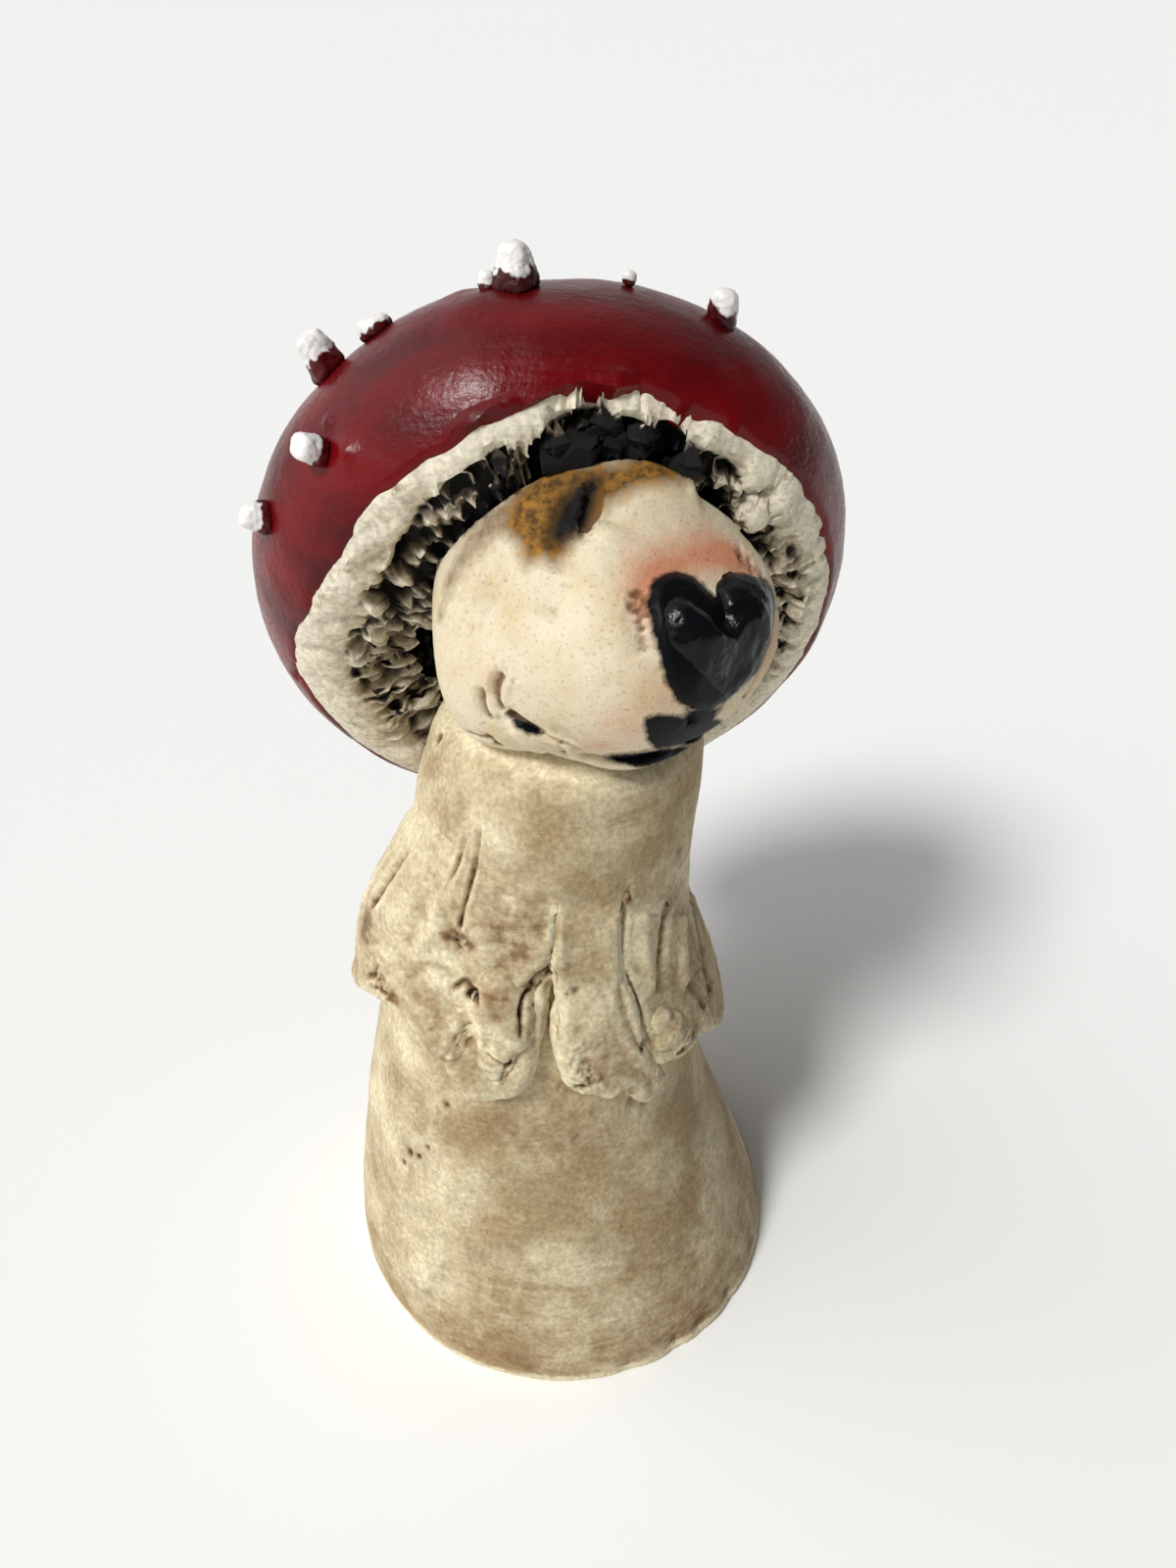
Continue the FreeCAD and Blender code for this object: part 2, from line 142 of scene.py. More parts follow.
def evenly(line: np.ndarray, count: int = 0, stretch: float = 1.0, spacing: float = 2.5) -> np.ndarray:
    """Even steps along a line.

    Args:
        line: Places along the line, two values each.
        count: How many steps, or 0 for one at each spacing.
        stretch: Length of one unit of the first value.
        spacing: Length between two steps where no count is given.

    Returns:
        The steps, on a smooth curve where the line has more than two places.
    """
    gaps = np.maximum(norms(np.diff(line * np.array([stretch, 1.0]), axis=0)), 1e-6)
    lengths = np.concatenate([[0], np.cumsum(gaps)])
    at = np.linspace(0, lengths[-1], count or max(int(lengths[-1] / spacing), 1) + 1)
    if len(line) > 2:
        return np.stack([through(lengths, column, at) for column in line.T], axis=-1)
    return np.stack([np.interp(at, lengths, column) for column in line.T], axis=-1)


class Grain:
    """Seeded gradient and cell noise over points in millimetres."""

    def __init__(self, seed: int) -> None:
        """Fill the tables from a seed."""
        random = np.random.default_rng(seed)
        order = random.permutation(256)
        self.order = np.concatenate([order, order])
        spokes = random.normal(size=(256, 3))
        self.spokes = spokes / np.linalg.norm(spokes, axis=1, keepdims=True)
        self.jitter = random.random((256, 3))

    def index(self, cell: np.ndarray) -> np.ndarray:
        """Table row of each whole-number cell."""
        x, y, z = cell[:, 0] & 255, cell[:, 1] & 255, cell[:, 2] & 255
        return self.order[self.order[self.order[x] + y] + z]

    def smooth(self, points: np.ndarray, size: float) -> np.ndarray:
        """Gradient noise from about -1 to 1, in lumps of a size."""
        place = points / size
        cell = np.floor(place).astype(np.int64)
        rest = place - cell
        ease = rest ** 3 * (rest * (rest * 6 - 15) + 10)
        total = np.zeros(len(points))
        for corner in np.ndindex(2, 2, 2):
            step = np.array(corner)
            spoke = self.spokes[self.index(cell + step)]
            total += dots(spoke, rest - step) * np.prod(np.where(step == 1, ease, 1 - ease), axis=1)
        return total * 1.6

    def fractal(self, points: np.ndarray, size: float, layers: int) -> np.ndarray:
        """Sum of gradient noise whose lumps and heights halve in each layer."""
        total = np.zeros(len(points))
        for layer in range(layers):
            total += self.smooth(points + 37.0 * layer, size / 2 ** layer) / 2 ** layer
        return total

    def cells(self, points: np.ndarray, size: float) -> tuple[np.ndarray, np.ndarray]:
        """Distances to the nearest and the next of some scattered dots, as shares of their spacing."""
        place = points / size
        cell = np.floor(place).astype(np.int64)
        nearest, second = np.full((2, len(points)), 9.0)
        for offset in np.ndindex(3, 3, 3):
            home = cell + np.array(offset) - 1
            gap = norms(place - home - self.jitter[self.index(home)])
            second = np.minimum(second, np.maximum(nearest, gap))
            nearest = np.minimum(nearest, gap)
        return nearest, second


@dataclass
class Form:
    """A closed surface being modelled, in millimetres, with the marks it carries."""

    points: np.ndarray
    quads: np.ndarray
    triangles: np.ndarray
    marks: dict[Mark, np.ndarray] = field(default_factory=dict)

    def faces(self) -> list[np.ndarray]:
        """The quads and the triangles, without an empty list."""
        return [faces for faces in (self.quads, self.triangles) if len(faces)]

    def facing_out(self) -> "Form":
        """The form with its faces turned so that their normals point out of the clay."""
        volume = 0.0
        for faces in self.faces():
            corners = self.points[faces]
            for after in range(2, faces.shape[1]):
                square = np.cross(corners[:, after - 1], corners[:, after])
                volume += np.einsum("ij,ij->", corners[:, 0], square)
        if volume < 0:
            self.quads, self.triangles = self.quads[:, ::-1], self.triangles[:, ::-1]
        return self

    def normals(self) -> np.ndarray:
        """Unit normals at the points."""
        total = np.zeros_like(self.points)
        for faces in self.faces():
            corners = self.points[faces]
            square = np.cross(corners[:, 2] - corners[:, 0], corners[:, -1] - corners[:, 1])
            for corner, axis in np.ndindex(faces.shape[1], 3):
                total[:, axis] += np.bincount(faces[:, corner], square[:, axis], len(self.points))
        return total / np.maximum(np.linalg.norm(total, axis=1, keepdims=True), 1e-12)

    def relaxed(self, values: np.ndarray, rounds: int) -> np.ndarray:
        """Average values with their neighbours, round by round."""
        ends = [(faces.ravel(), np.roll(faces, -1, axis=1).ravel()) for faces in self.faces()]
        first = np.concatenate([end for pair in ends for end in pair])
        second = np.concatenate([end for pair in ends for end in pair[::-1]])
        count = np.maximum(np.bincount(first, minlength=len(self.points)), 1)
        table = values.reshape(len(self.points), -1).copy()
        for _ in range(rounds):
            for column in range(table.shape[1]):
                mean = np.bincount(first, table[second, column], len(self.points)) / count
                table[:, column] += (mean - table[:, column]) * 0.5
        return table.reshape(values.shape)

    def mark(self, mark: Mark) -> np.ndarray:
        """Values of a mark, none at first."""
        return self.marks.setdefault(mark, np.zeros(len(self.points)))

    def add_hollows(self, fine_rounds: int, broad_rounds: int) -> None:
        """Mark how deep each point lies below its surroundings, in millimetres."""
        normals = self.normals()
        fine = self.relaxed(self.points, fine_rounds)
        broad = self.relaxed(fine, broad_rounds)
        self.marks[Mark.HOLLOW] = dots(fine - self.points, normals) + dots(broad - fine, normals) * 0.6

    def push(self, outward: np.ndarray) -> None:
        """Move the points along their normals by a distance each."""
        self.points = self.points + self.normals() * outward[:, None]

    def stand(self, node: str, slot: Slot, finish: bpy.types.Material) -> None:
        """Make the Blender object that stands for a node.

        Args:
            node: Name of the CAD node, and of the piece.
            slot: Material slot of the record; not used.
            finish: Material that dresses the piece.
        """
        mesh = bpy.data.meshes.new(node)
        corners = np.concatenate([self.quads.ravel(), self.triangles.ravel()]).astype(np.int32)
        sizes = np.repeat([4, 3], [len(self.quads), len(self.triangles)])
        mesh.vertices.add(len(self.points))
        mesh.vertices.foreach_set("co", (self.points * MM).astype(np.float32).ravel())
        mesh.loops.add(len(corners))
        mesh.loops.foreach_set("vertex_index", corners)
        mesh.polygons.add(len(sizes))
        mesh.polygons.foreach_set("loop_start", (np.cumsum(sizes) - sizes).astype(np.int32))
        mesh.update(calc_edges=True)
        mesh.validate()
        mesh.shade_smooth()
        mesh.set_sharp_from_angle(angle=math.radians(50))
        for mark, values in self.marks.items():
            attribute = mesh.attributes.new(mark.value, "FLOAT", "POINT")
            attribute.data.foreach_set("value", values.astype(np.float32))
        piece = bpy.data.objects.new("clay_" + node, mesh)
        bpy.context.scene.collection.objects.link(piece)
        mesh.materials.append(finish)
        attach(piece, "root")
        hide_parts(node)
        log.info("%s: %d points", node, len(self.points))


def rim_of(grid: np.ndarray) -> np.ndarray:
    """Rows of a grid's rim, in order round it."""
    return np.concatenate([grid[0, :-1], grid[:-1, -1], grid[-1, :0:-1], grid[:0:-1, 0]])


def grid_quads(index: np.ndarray) -> np.ndarray:
    """Quads between the rows and columns of a grid of point numbers."""
    return np.stack([index[:-1, :-1], index[:-1, 1:], index[1:, 1:], index[1:, :-1]], axis=-1).reshape(-1, 4)


def tube_form(rings: np.ndarray) -> Form:
    """Skin over rings of points, its end rings drawn together in two middle points."""
    count, width = rings.shape[:2]
    index = np.arange(count * width).reshape(count, width)
    index = np.hstack([index, index[:, :1]])
    points = np.concatenate([rings.reshape(-1, 3), [rings[0].mean(axis=0), rings[-1].mean(axis=0)]])
    first = np.stack([index[0, 1:], index[0, :-1], np.full(width, count * width)], axis=-1)
    last = np.stack([index[-1, :-1], index[-1, 1:], np.full(width, count * width + 1)], axis=-1)
    return Form(points, grid_quads(index), np.concatenate([first, last])).facing_out()


def patch_form(face: np.ndarray, walls: list[np.ndarray], heart: np.ndarray) -> Form:
    """Flap with a face, side walls that run inwards from its rim, and a hidden fan at their end.

    Args:
        face: Points by row and column.
        walls: Rings of points, each as long as the rim, from the face inwards.
        heart: Point deep in the clay where the last ring ends.

    Returns:
        The closed form.
    """
    index = np.arange(face.shape[0] * face.shape[1]).reshape(face.shape[:2])
    quads, ring = [grid_quads(index)], rim_of(index)
    for place in range(len(walls)):
        inner = index.size + (place + np.arange(0, 1, 1 / len(ring))[:len(ring)]) * len(ring)
        inner = np.round(inner).astype(int)
        quads.append(np.stack([np.roll(ring, -1), ring, inner, np.roll(inner, -1)], axis=-1))
        ring = inner
    fan = np.stack([np.roll(ring, -1), ring, np.full(len(ring), ring[-1] + 1)], axis=-1)
    return Form(np.concatenate([face.reshape(-1, 3), *walls, heart[None]]), np.concatenate(quads), fan).facing_out()


def read(items: bpy.types.bpy_prop_collection, name: str, width: int = 1, kind: type = np.int32) -> np.ndarray:
    """One property of all items of a mesh."""
    values = np.zeros(len(items) * width, kind)
    items.foreach_get(name, values)
    return values


def remeshed(node: str, balls: list[tuple[np.ndarray, float]], voxel: float) -> Form:
    """Skin of even quads round a CAD node or round balls of clay.

    Args:
        node: CAD node to copy, or nothing.
        balls: Middle and radius of each ball.
        voxel: Size of a quad in millimetres.

    Returns:
        The form in one skin.
    """
    points, faces, total = [], [], 0
    if node:
        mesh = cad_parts[node].data
        points.append(read(mesh.vertices, "co", 3, float).reshape(-1, 3))
        faces += [list(face.vertices) for face in mesh.polygons]
    rings, turn = np.meshgrid(
        np.linspace(0.02, math.pi - 0.02, 15), np.linspace(0, math.tau, 24, False), indexing="ij")
    sphere = np.stack([np.sin(rings) * np.cos(turn), np.sin(rings) * np.sin(turn), np.cos(rings)], axis=-1)
    for middle, radius in balls:
        form = tube_form(middle + sphere * radius)
        points.append(form.points * MM)
        faces += (form.quads + total).tolist() + (form.triangles + total).tolist()
        total += len(form.points)
    mesh = bpy.data.meshes.new("lump")
    mesh.from_pydata(np.concatenate(points).tolist(), [], faces)
    lump = bpy.data.objects.new("lump", mesh)
    bpy.context.scene.collection.objects.link(lump)
    modifier = lump.modifiers.new("skin", "REMESH")
    modifier.mode = "VOXEL"
    modifier.voxel_size = voxel * MM
    skin = lump.evaluated_get(bpy.context.evaluated_depsgraph_get()).to_mesh()
    points = read(skin.vertices, "co", 3, float).reshape(-1, 3) / MM
    sizes, corners = read(skin.polygons, "loop_total"), read(skin.loops, "vertex_index")
    starts = np.cumsum(sizes) - sizes
    quads, triangles = (corners[starts[sizes == size][:, None] + np.arange(size)] for size in (4, 3))
    bpy.data.objects.remove(lump)
    return Form(points, quads, triangles)


@dataclass(frozen=True)
class PhotoCamera:
    """The phone that took the photograph, in millimetres from the middle of the foot."""

    right: float = 4.5
    back: float = -148.5
    height: float = 205.7
    pitch: float = 35.0
    focal_pixels: float = 1202.0
    frame_width: float = 1200.0
    frame_height: float = 1600.0
    film_height: float = 36.0

    @property
    def place(self) -> np.ndarray:
        """Where the lens stands."""
        return np.array([self.right, self.back, self.height])

    @property
    def tip(self) -> tuple[float, float]:
        """Cosine and sine of the lens's tilt below level."""
        return math.cos(math.radians(self.pitch)), math.sin(math.radians(self.pitch))

    def project(self, points: np.ndarray) -> tuple[np.ndarray, np.ndarray]:
        """Pixels where points show, and how many millimetres one of them spans at each point."""
        offset = points - self.place
        c, s = self.tip
        depth = offset[:, 1] * c - offset[:, 2] * s
        down = -offset[:, 1] * s - offset[:, 2] * c
        x = self.frame_width / 2 + self.focal_pixels * offset[:, 0] / depth
        y = self.frame_height / 2 + self.focal_pixels * down / depth
        return np.stack([x, y], axis=-1), depth / self.focal_pixels

    def ray(self, pixel: np.ndarray) -> np.ndarray:
        """Direction from the lens through a pixel."""
        across = (pixel[0] - self.frame_width / 2) / self.focal_pixels
        down = (pixel[1] - self.frame_height / 2) / self.focal_pixels
        c, s = self.tip
        direction = np.array([across, c - down * s, -(s + down * c)])
        return direction / np.linalg.norm(direction)

    def stand(self) -> None:
        """Make the Blender camera."""
        lens = bpy.data.cameras.new("photo_camera")
        lens.sensor_fit = "VERTICAL"
        lens.sensor_height = self.film_height
        lens.lens = self.film_height * self.focal_pixels / self.frame_height
        lens.clip_start = 0.01
        camera = bpy.data.objects.new("photo_camera", lens)
        camera.location = self.place * MM
        camera.rotation_euler = (math.radians(90 - self.pitch), 0, 0)
        bpy.context.scene.collection.objects.link(camera)
        bpy.context.scene.camera = camera


CAMERA = PhotoCamera()
GRAIN = Grain(7)


@dataclass(frozen=True)
class Stroke:
    """Mark of a tool or finger, or a fold, along a line of the photograph. Sizes in millimetres."""

    line: Line
    width: float
    depth: float = 0.0
    lip: float = 0.0
    ink: float = 0.0

    def press(self, form: Form, path: np.ndarray) -> None:
        """Press the mark into a form along the line's points on the clay."""
        if len(path) < 2:
            return
        reach = self.width * 3.5
        near = (form.points > path.min(axis=0) - reach) & (form.points < path.max(axis=0) + reach)
        rows = np.flatnonzero(np.all(near, axis=1))
        if not len(rows):
            return
        points, normals = form.points[rows], form.normals()[rows]
        nearest = np.argmin(np.linalg.norm(points[:, None] - path[None], axis=2), axis=1)
        offset = points - path[nearest]
        offset -= normals * dots(offset, normals)[:, None]
        distance = norms(offset)
        bite = bell(distance, self.width)
        along = nearest / (len(path) - 1)
        ends = 0.25 + 0.75 * smoothstep(0, 0.12, along) * smoothstep(0, 0.12, 1 - along)
        ends = np.where((nearest == 0) | (nearest == len(path) - 1), bite * 0.15, ends)
        move = self.lip * bell(distance - 2.1 * self.width, self.width) - self.depth * bite
        form.points[rows] += normals * (move * ends)[:, None]
        if self.ink:
            form.mark(Mark.STAIN_AND_SHADE)[rows] += self.ink * bite * ends


@dataclass(frozen=True)
class Dab:
    """Round dent, knob, crumbled place, stain or patch of painted shade at a pixel of the photograph. Sizes in
    millimetres.
    """

    line: Line
    size: float
    depth: float = 0.0
    crumble: float = 0.0
    stain: float = 0.0
    tall: float = 1.0
    mark: Mark = Mark.STAIN_AND_SHADE

    def press(self, form: Form, path: np.ndarray) -> None:
        """Work the dab into a form at its place on the clay."""
        if not len(path):
            return
        offset = form.points - path[0]
        offset[:, 2] /= self.tall
        share = bell(norms(offset), self.size)
        rows = np.flatnonzero(share > 0.02)
        if len(rows) and (self.depth or self.crumble):
            rough = 0.45 - GRAIN.cells(form.points[rows], 1.3)[0] + 0.5 * GRAIN.fractal(form.points[rows], 0.9, 2)
            form.points[rows] += form.normals()[rows] * (share[rows] * (self.crumble * rough - self.depth))[:, None]
        if self.stain:
            form.marks[self.mark] = form.mark(self.mark) + self.stain * share


Found = list[tuple[Stroke | Dab, np.ndarray]]


def strokes(*rows: tuple) -> tuple[Stroke, ...]:
    """Strokes from rows of line, width, depth, lip and ink."""
    return tuple(Stroke(*row) for row in rows)


def dabs(*rows: tuple, mark: Mark = Mark.STAIN_AND_SHADE) -> tuple[Dab, ...]:
    """Dabs from rows of x, y, size, depth, crumble, stain and tall, as far as each is filled in."""
    return tuple(Dab(row[:2], *row[2:], mark=mark) for row in rows)


class Canvas:
    """Clay that lines of the photograph are traced onto."""

    def __init__(self, forms: list[Form]) -> None:
        """Take the surfaces of some forms."""
        faces, total = [], 0
        for form in forms:
            faces += (form.quads + total).tolist() + (form.triangles + total).tolist()
            total += len(form.points)
        self.tree = BVHTree.FromPolygons(np.concatenate([form.points for form in forms]).tolist(), faces)

    def trace(self, line: Line) -> np.ndarray:
        """Points where a line of the photograph, or a single pixel, falls on the clay."""
        pixels = pairs(line)
        hits = []
        for pixel in evenly(pixels) if len(pixels) > 1 else pixels:
            hit = self.tree.ray_cast(CAMERA.place.tolist(), CAMERA.ray(pixel).tolist())[0]
            if hit is not None:
                hits.append(list(hit))
        return np.array(hits).reshape(-1, 3)

    def find(self, marks: tuple[Stroke | Dab, ...]) -> Found:
        """Each mark with its points on the clay."""
        return [(mark, self.trace(mark.line)) for mark in marks]


def work(form: Form, found: Found) -> None:
    """Press traced marks into a form, in order."""
    for mark, path in found:
        mark.press(form, path)


def outline_distance(pixels: np.ndarray, outline: Line) -> np.ndarray:
    """Signed distance in pixels from places to a closed outline, positive inside."""
    corners = pairs(outline)
    best = np.full(len(pixels), 1 / TINY)
    inside = np.zeros(len(pixels), bool)
    for start, end in zip(corners, np.roll(corners, -1, axis=0)):
        edge = end - start
        share = np.clip((pixels - start) @ edge / max(edge @ edge, TINY), 0, 1)
        best = np.minimum(best, norms(pixels - start - share[:, None] * edge))
        crosses = (start[1] > pixels[:, 1]) != (end[1] > pixels[:, 1])
        slope = (pixels[:, 1] - start[1]) / (edge[1] if abs(edge[1]) > TINY else TINY)
        inside ^= crosses & (pixels[:, 0] < start[0] + slope * edge[0])
    return np.where(inside, best, -best)


class Nodes:
    """Short ways to add shader nodes to the tree of one material or world."""

    def __init__(self, owner: bpy.types.ID) -> None:
        """Empty the owner's tree."""
        self.owner = owner
        owner.use_nodes = True
        self.tree = owner.node_tree
        self.tree.nodes.clear()

    def add(self, kind: str, inputs: dict, out: int = 0, **settings: object) -> bpy.types.NodeSocket | None:
        """Add a node.

        Args:
            kind: Blender's name for the node type, after its shared first part.
            inputs: Value or socket for each input, by name or number.
            out: Number of the output that is wanted.
            settings: Values for the node's own properties.

        Returns:
            That output, or nothing for a node without one.
        """
        node = self.tree.nodes.new("ShaderNode" + kind)
        for key, value in settings.items():
            setattr(node, key, value)
        for key, value in inputs.items():
            if isinstance(value, bpy.types.NodeSocket):
                self.tree.links.new(value, node.inputs[key])
            else:
                node.inputs[key].default_value = value
        return node.outputs[out] if len(node.outputs) else None

    def place(self, **swept: object) -> bpy.types.NodeSocket:
        """Places on the piece, swept by a rotation and scale where they are given."""
        place = self.add("TexCoord", {}, 3)
        return self.add("Mapping", {"Vector": place, **swept}) if swept else place

    def noise(self, size: float, detail: float, rough: float, vector: bpy.types.NodeSocket) -> bpy.types.NodeSocket:
        """Noise in lumps of a size in millimetres."""
        return self.add("TexNoise", {"Vector": vector, "Scale": 1 / (size * MM), "Detail": detail, "Roughness": rough})

    def mark(self, mark: Mark) -> bpy.types.NodeSocket:
        """Values of a mark."""
        return self.add("Attribute", {}, 2, attribute_name=mark.value)

    def ramp(
        self, value: bpy.types.NodeSocket, low: float, high: float, start: float = 0.0, end: float = 1.0
    ) -> bpy.types.NodeSocket:
        """Value mapped from a low and high to a start and end, and held there."""
        return self.add("MapRange", {0: value, 1: low, 2: high, 3: start, 4: end})

    def plus(self, value: bpy.types.NodeSocket, gain: float, base: bpy.types.NodeSocket) -> bpy.types.NodeSocket:
        """Value times a gain, added to a base."""
        return self.add("Math", {0: value, 1: gain, 2: base}, operation="MULTIPLY_ADD")

    def mix(self, share: bpy.types.NodeSocket, first: object, second: object) -> bpy.types.NodeSocket:
        """Blend of two colours, each a socket or an sRGB hex colour."""
        first, second = (linear(side) if isinstance(side, str) else side for side in (first, second))
        return self.add("Mix", {0: share, 6: first, 7: second}, 2, data_type="RGBA")

    def scaled(self, colour: bpy.types.NodeSocket, share: bpy.types.NodeSocket) -> bpy.types.NodeSocket:
        """Colour made darker or lighter by a share."""
        return self.add("VectorMath", {0: colour, 3: share}, operation="SCALE")

    def bump(
        self, height: bpy.types.NodeSocket, depth: float, under: dict | None = None, strength: float = 1.0
    ) -> dict:
        """Normal input for relief of a depth in millimetres, laid over another one."""
        inputs = {"Strength": strength, "Distance": depth * MM, "Height": height, **(under or {})}
        return {"Normal": self.add("Bump", inputs)}

    def finish(self, colour: object, rough: object, shine: object, bump: dict) -> bpy.types.Material:
        """Close the tree with a surface, and give its material."""
        surface = {"Base Color": colour, "Roughness": rough, "Specular IOR Level": shine, "IOR": 1.45, **bump}
        self.add("OutputMaterial", {"Surface": self.add("BsdfPrincipled", surface)})
        return self.owner


@dataclass(frozen=True)
class Bisque:
    """Unglazed sandy stoneware with a brown oxide wash wiped off the high places.

    It gives a dull, grainy beige that is darkest in every fold, from the wash together with painted shade, and palest
    on ridges, from wear together with a painted highlight.
    """

    name: str = "bisque_stoneware_wiped_oxide"
    clay: str = "#a8926c"
    pale: str = "#e2d5b2"
    grey: str = "#938a6f"
    wash_and_shade: str = "#80592c"
    deep: str = "#2a1b0b"
    cloud: float = 16.0
    mottle: float = 3.0
    sand: float = 0.8
    scratch: float = 4.9
    wash_and_shade_gain: float = 2.6
    pale_gain: float = 3.0
    sand_bump: float = 0.13
    roughness: float = 0.86
    shine: float = 0.5

    def material(self) -> bpy.types.Material:
        """Build the node material."""
        nodes = Nodes(bpy.data.materials.new(self.name))
        place, streak = nodes.place(), nodes.place(Scale=(1.0, 1.0, 14.0))
        mottle, sand = nodes.noise(self.mottle, 4.0, 0.6, place), nodes.noise(self.sand, 3.0, 0.6, place)
        hollow = nodes.mark(Mark.HOLLOW)
        colour = nodes.mix(nodes.ramp(nodes.noise(self.cloud, 5.0, 0.6, place), 0.42, 0.68), self.clay, self.pale)
        patch = nodes.ramp(nodes.noise(self.cloud * 0.55, 3.0, 0.6, place), 0.56, 0.72, end=0.45)
        colour = nodes.mix(patch, colour, self.grey)
        # Ridges are lightened: wear together with a painted highlight.
        ridge = nodes.plus(hollow, -self.pale_gain, nodes.mark(Mark.PALE))
        ridge = nodes.add("Math", {0: ridge, 1: nodes.ramp(mottle, 0.3, 0.6)}, operation="MULTIPLY", use_clamp=True)
        colour = nodes.mix(ridge, colour, self.pale)
        # Folds and stained places are darkened: the wash together with painted shade.
        wash_and_shade = nodes.plus(hollow, self.wash_and_shade_gain, nodes.mark(Mark.STAIN_AND_SHADE))
        smear = nodes.ramp(nodes.noise(self.mottle * 4, 4.0, 0.6, streak), 0.4, 0.8, -0.1, 0.3)
        blotch = nodes.ramp(mottle, 0.35, 0.75, -0.35, 0.35)
        wash_and_shade = nodes.plus(blotch, 1.0, nodes.plus(smear, 1.0, wash_and_shade))
        colour = nodes.mix(nodes.ramp(wash_and_shade, 0.1, 1.0, end=0.72), colour, self.wash_and_shade)
        colour = nodes.mix(nodes.ramp(wash_and_shade, 0.75, 1.8), colour, self.deep)
        colour = nodes.scaled(colour, nodes.ramp(sand, 0.3, 0.7, 0.74, 1.2))
        lines = nodes.noise(self.scratch, 3.0, 0.5, streak)
        fine = nodes.bump(lines, self.sand_bump * 1.6, nodes.bump(sand, self.sand_bump), 0.6)
        return nodes.finish(colour, self.roughness, self.shine, fine)


@dataclass(frozen=True)
class HeadPaint:
    """Matt underglaze brushed over fired clay, in cream with peach, golden brown and black.

    It gives a chalky skin with fine dark specks where the grain stands proud.
    """

    name: str = "matt_underglaze_on_stoneware"
    cream: str = "#dfd3b8"
    shade: str = "#d2bd94"
    peach: str = "#cc8765"
    golden: str = "#a5742b"
    brown: str = "#553b15"
    dark: str = "#0b0906"
    black: str = "#050608"
    wash_and_shade: str = "#6b4720"
    cloud: float = 7.0
    feather: float = 1.3
    speck: float = 0.5
    sand: float = 0.45
    sand_bump: float = 0.09
    roughness: tuple[float, float] = (0.78, 0.42)
    shine: tuple[float, float] = (0.34, 0.12)

    def material(self) -> bpy.types.Material:
        """Build the node material."""
        nodes = Nodes(bpy.data.materials.new(self.name))
        place = nodes.place()
        cloud, feather, speck, sand = (
            nodes.noise(size, detail, 0.62, place)
            for size, detail in ((self.cloud, 4.0), (self.feather, 4.0), (self.speck, 2.0), (self.sand, 3.0))
        )
        ragged = nodes.ramp(feather, 0.25, 0.75, -1.0, 1.0)
        colour = nodes.mix(nodes.ramp(cloud, 0.4, 0.75), self.cream, self.shade)
        blush = nodes.plus(ragged, 0.13, nodes.mark(Mark.BLUSH))
        colour = nodes.mix(nodes.ramp(blush, 0.08, 1.0, end=0.95), colour, self.peach)
        # Hollows and stained places take the brown wash; the stains include the cap's shadow painted onto the head, so
        # this is partly painted shade.
        wash_and_shade = nodes.plus(ragged, 0.18, nodes.plus(nodes.mark(Mark.HOLLOW), 3.0, nodes.mark(Mark.STAIN_AND_SHADE)))
        colour = nodes.mix(nodes.ramp(wash_and_shade, 0.12, 1.0, end=0.85), colour, self.wash_and_shade)
        tone = nodes.mix(nodes.ramp(feather, 0.38, 0.68), self.brown, self.golden)
        colour = nodes.mix(nodes.ramp(nodes.plus(ragged, 0.55, nodes.mark(Mark.GOLDEN)), -0.9, 1.5), colour, tone)
        colour = nodes.mix(nodes.ramp(nodes.plus(ragged, 0.7, nodes.mark(Mark.DARK)), -1.2, 0.9), colour, self.dark)
        inked = nodes.ramp(nodes.plus(ragged, 0.25, nodes.mark(Mark.BLACK)), -0.35, 0.3)
        colour = nodes.mix(inked, colour, self.black)
        colour = nodes.scaled(colour, nodes.ramp(speck, 0.28, 0.42, 0.66, 1.0))
        rough, shine = (nodes.ramp(inked, 0.0, 1.0, *ends) for ends in (self.roughness, self.shine))
        return nodes.finish(colour, rough, shine, nodes.bump(sand, self.sand_bump))


@dataclass(frozen=True)
class GlossPaint:
    """Gloss enamel brushed over rough clay.

    It gives a wet shine broken by brush hairs and by the grain under the paint, and it is thin
    and greyish where the brush ran dry.
    """

    name: str
    deep: str
    bright: str
    dry: str
    dry_mark: Mark
    roughness: float
    shine: float = 0.32
    cloud: float = 9.0
    hair: float = 0.5
    orange_peel: float = 0.8
    peel_height: float = 0.09
    hair_height: float = 0.03

    def material(self) -> bpy.types.Material:
        """Build the node material."""
        nodes = Nodes(bpy.data.materials.new(self.name))
        swept = nodes.place(Rotation=(math.radians(28), 0.0, math.radians(-12)), Scale=(0.09, 1.0, 1.0))
        peel, hairs = nodes.noise(self.orange_peel, 3.0, 0.5, nodes.place()), nodes.noise(self.hair, 3.0, 0.5, swept)
        colour = nodes.mix(nodes.ramp(nodes.noise(self.cloud, 4.0, 0.5, swept), 0.35, 0.65), self.deep, self.bright)
        bare = nodes.plus(nodes.ramp(peel, 0.3, 0.7, -0.25, 0.25), 1.0, nodes.mark(self.dry_mark))
        colour = nodes.mix(nodes.ramp(bare, 0.25, 0.75), colour, self.dry)
        # Painted shade: the paint is darkened in the hollows.
        colour = nodes.scaled(colour, nodes.ramp(nodes.mark(Mark.HOLLOW), 0.08, 0.6, 1.0, 0.5))
        rough = nodes.ramp(hairs, 0.3, 0.75, self.roughness * 0.75, self.roughness * 1.5)
        bump = nodes.bump(hairs, self.hair_height, nodes.bump(peel, self.peel_height))
        return nodes.finish(colour, rough, self.shine, bump)


BISQUE = Bisque()
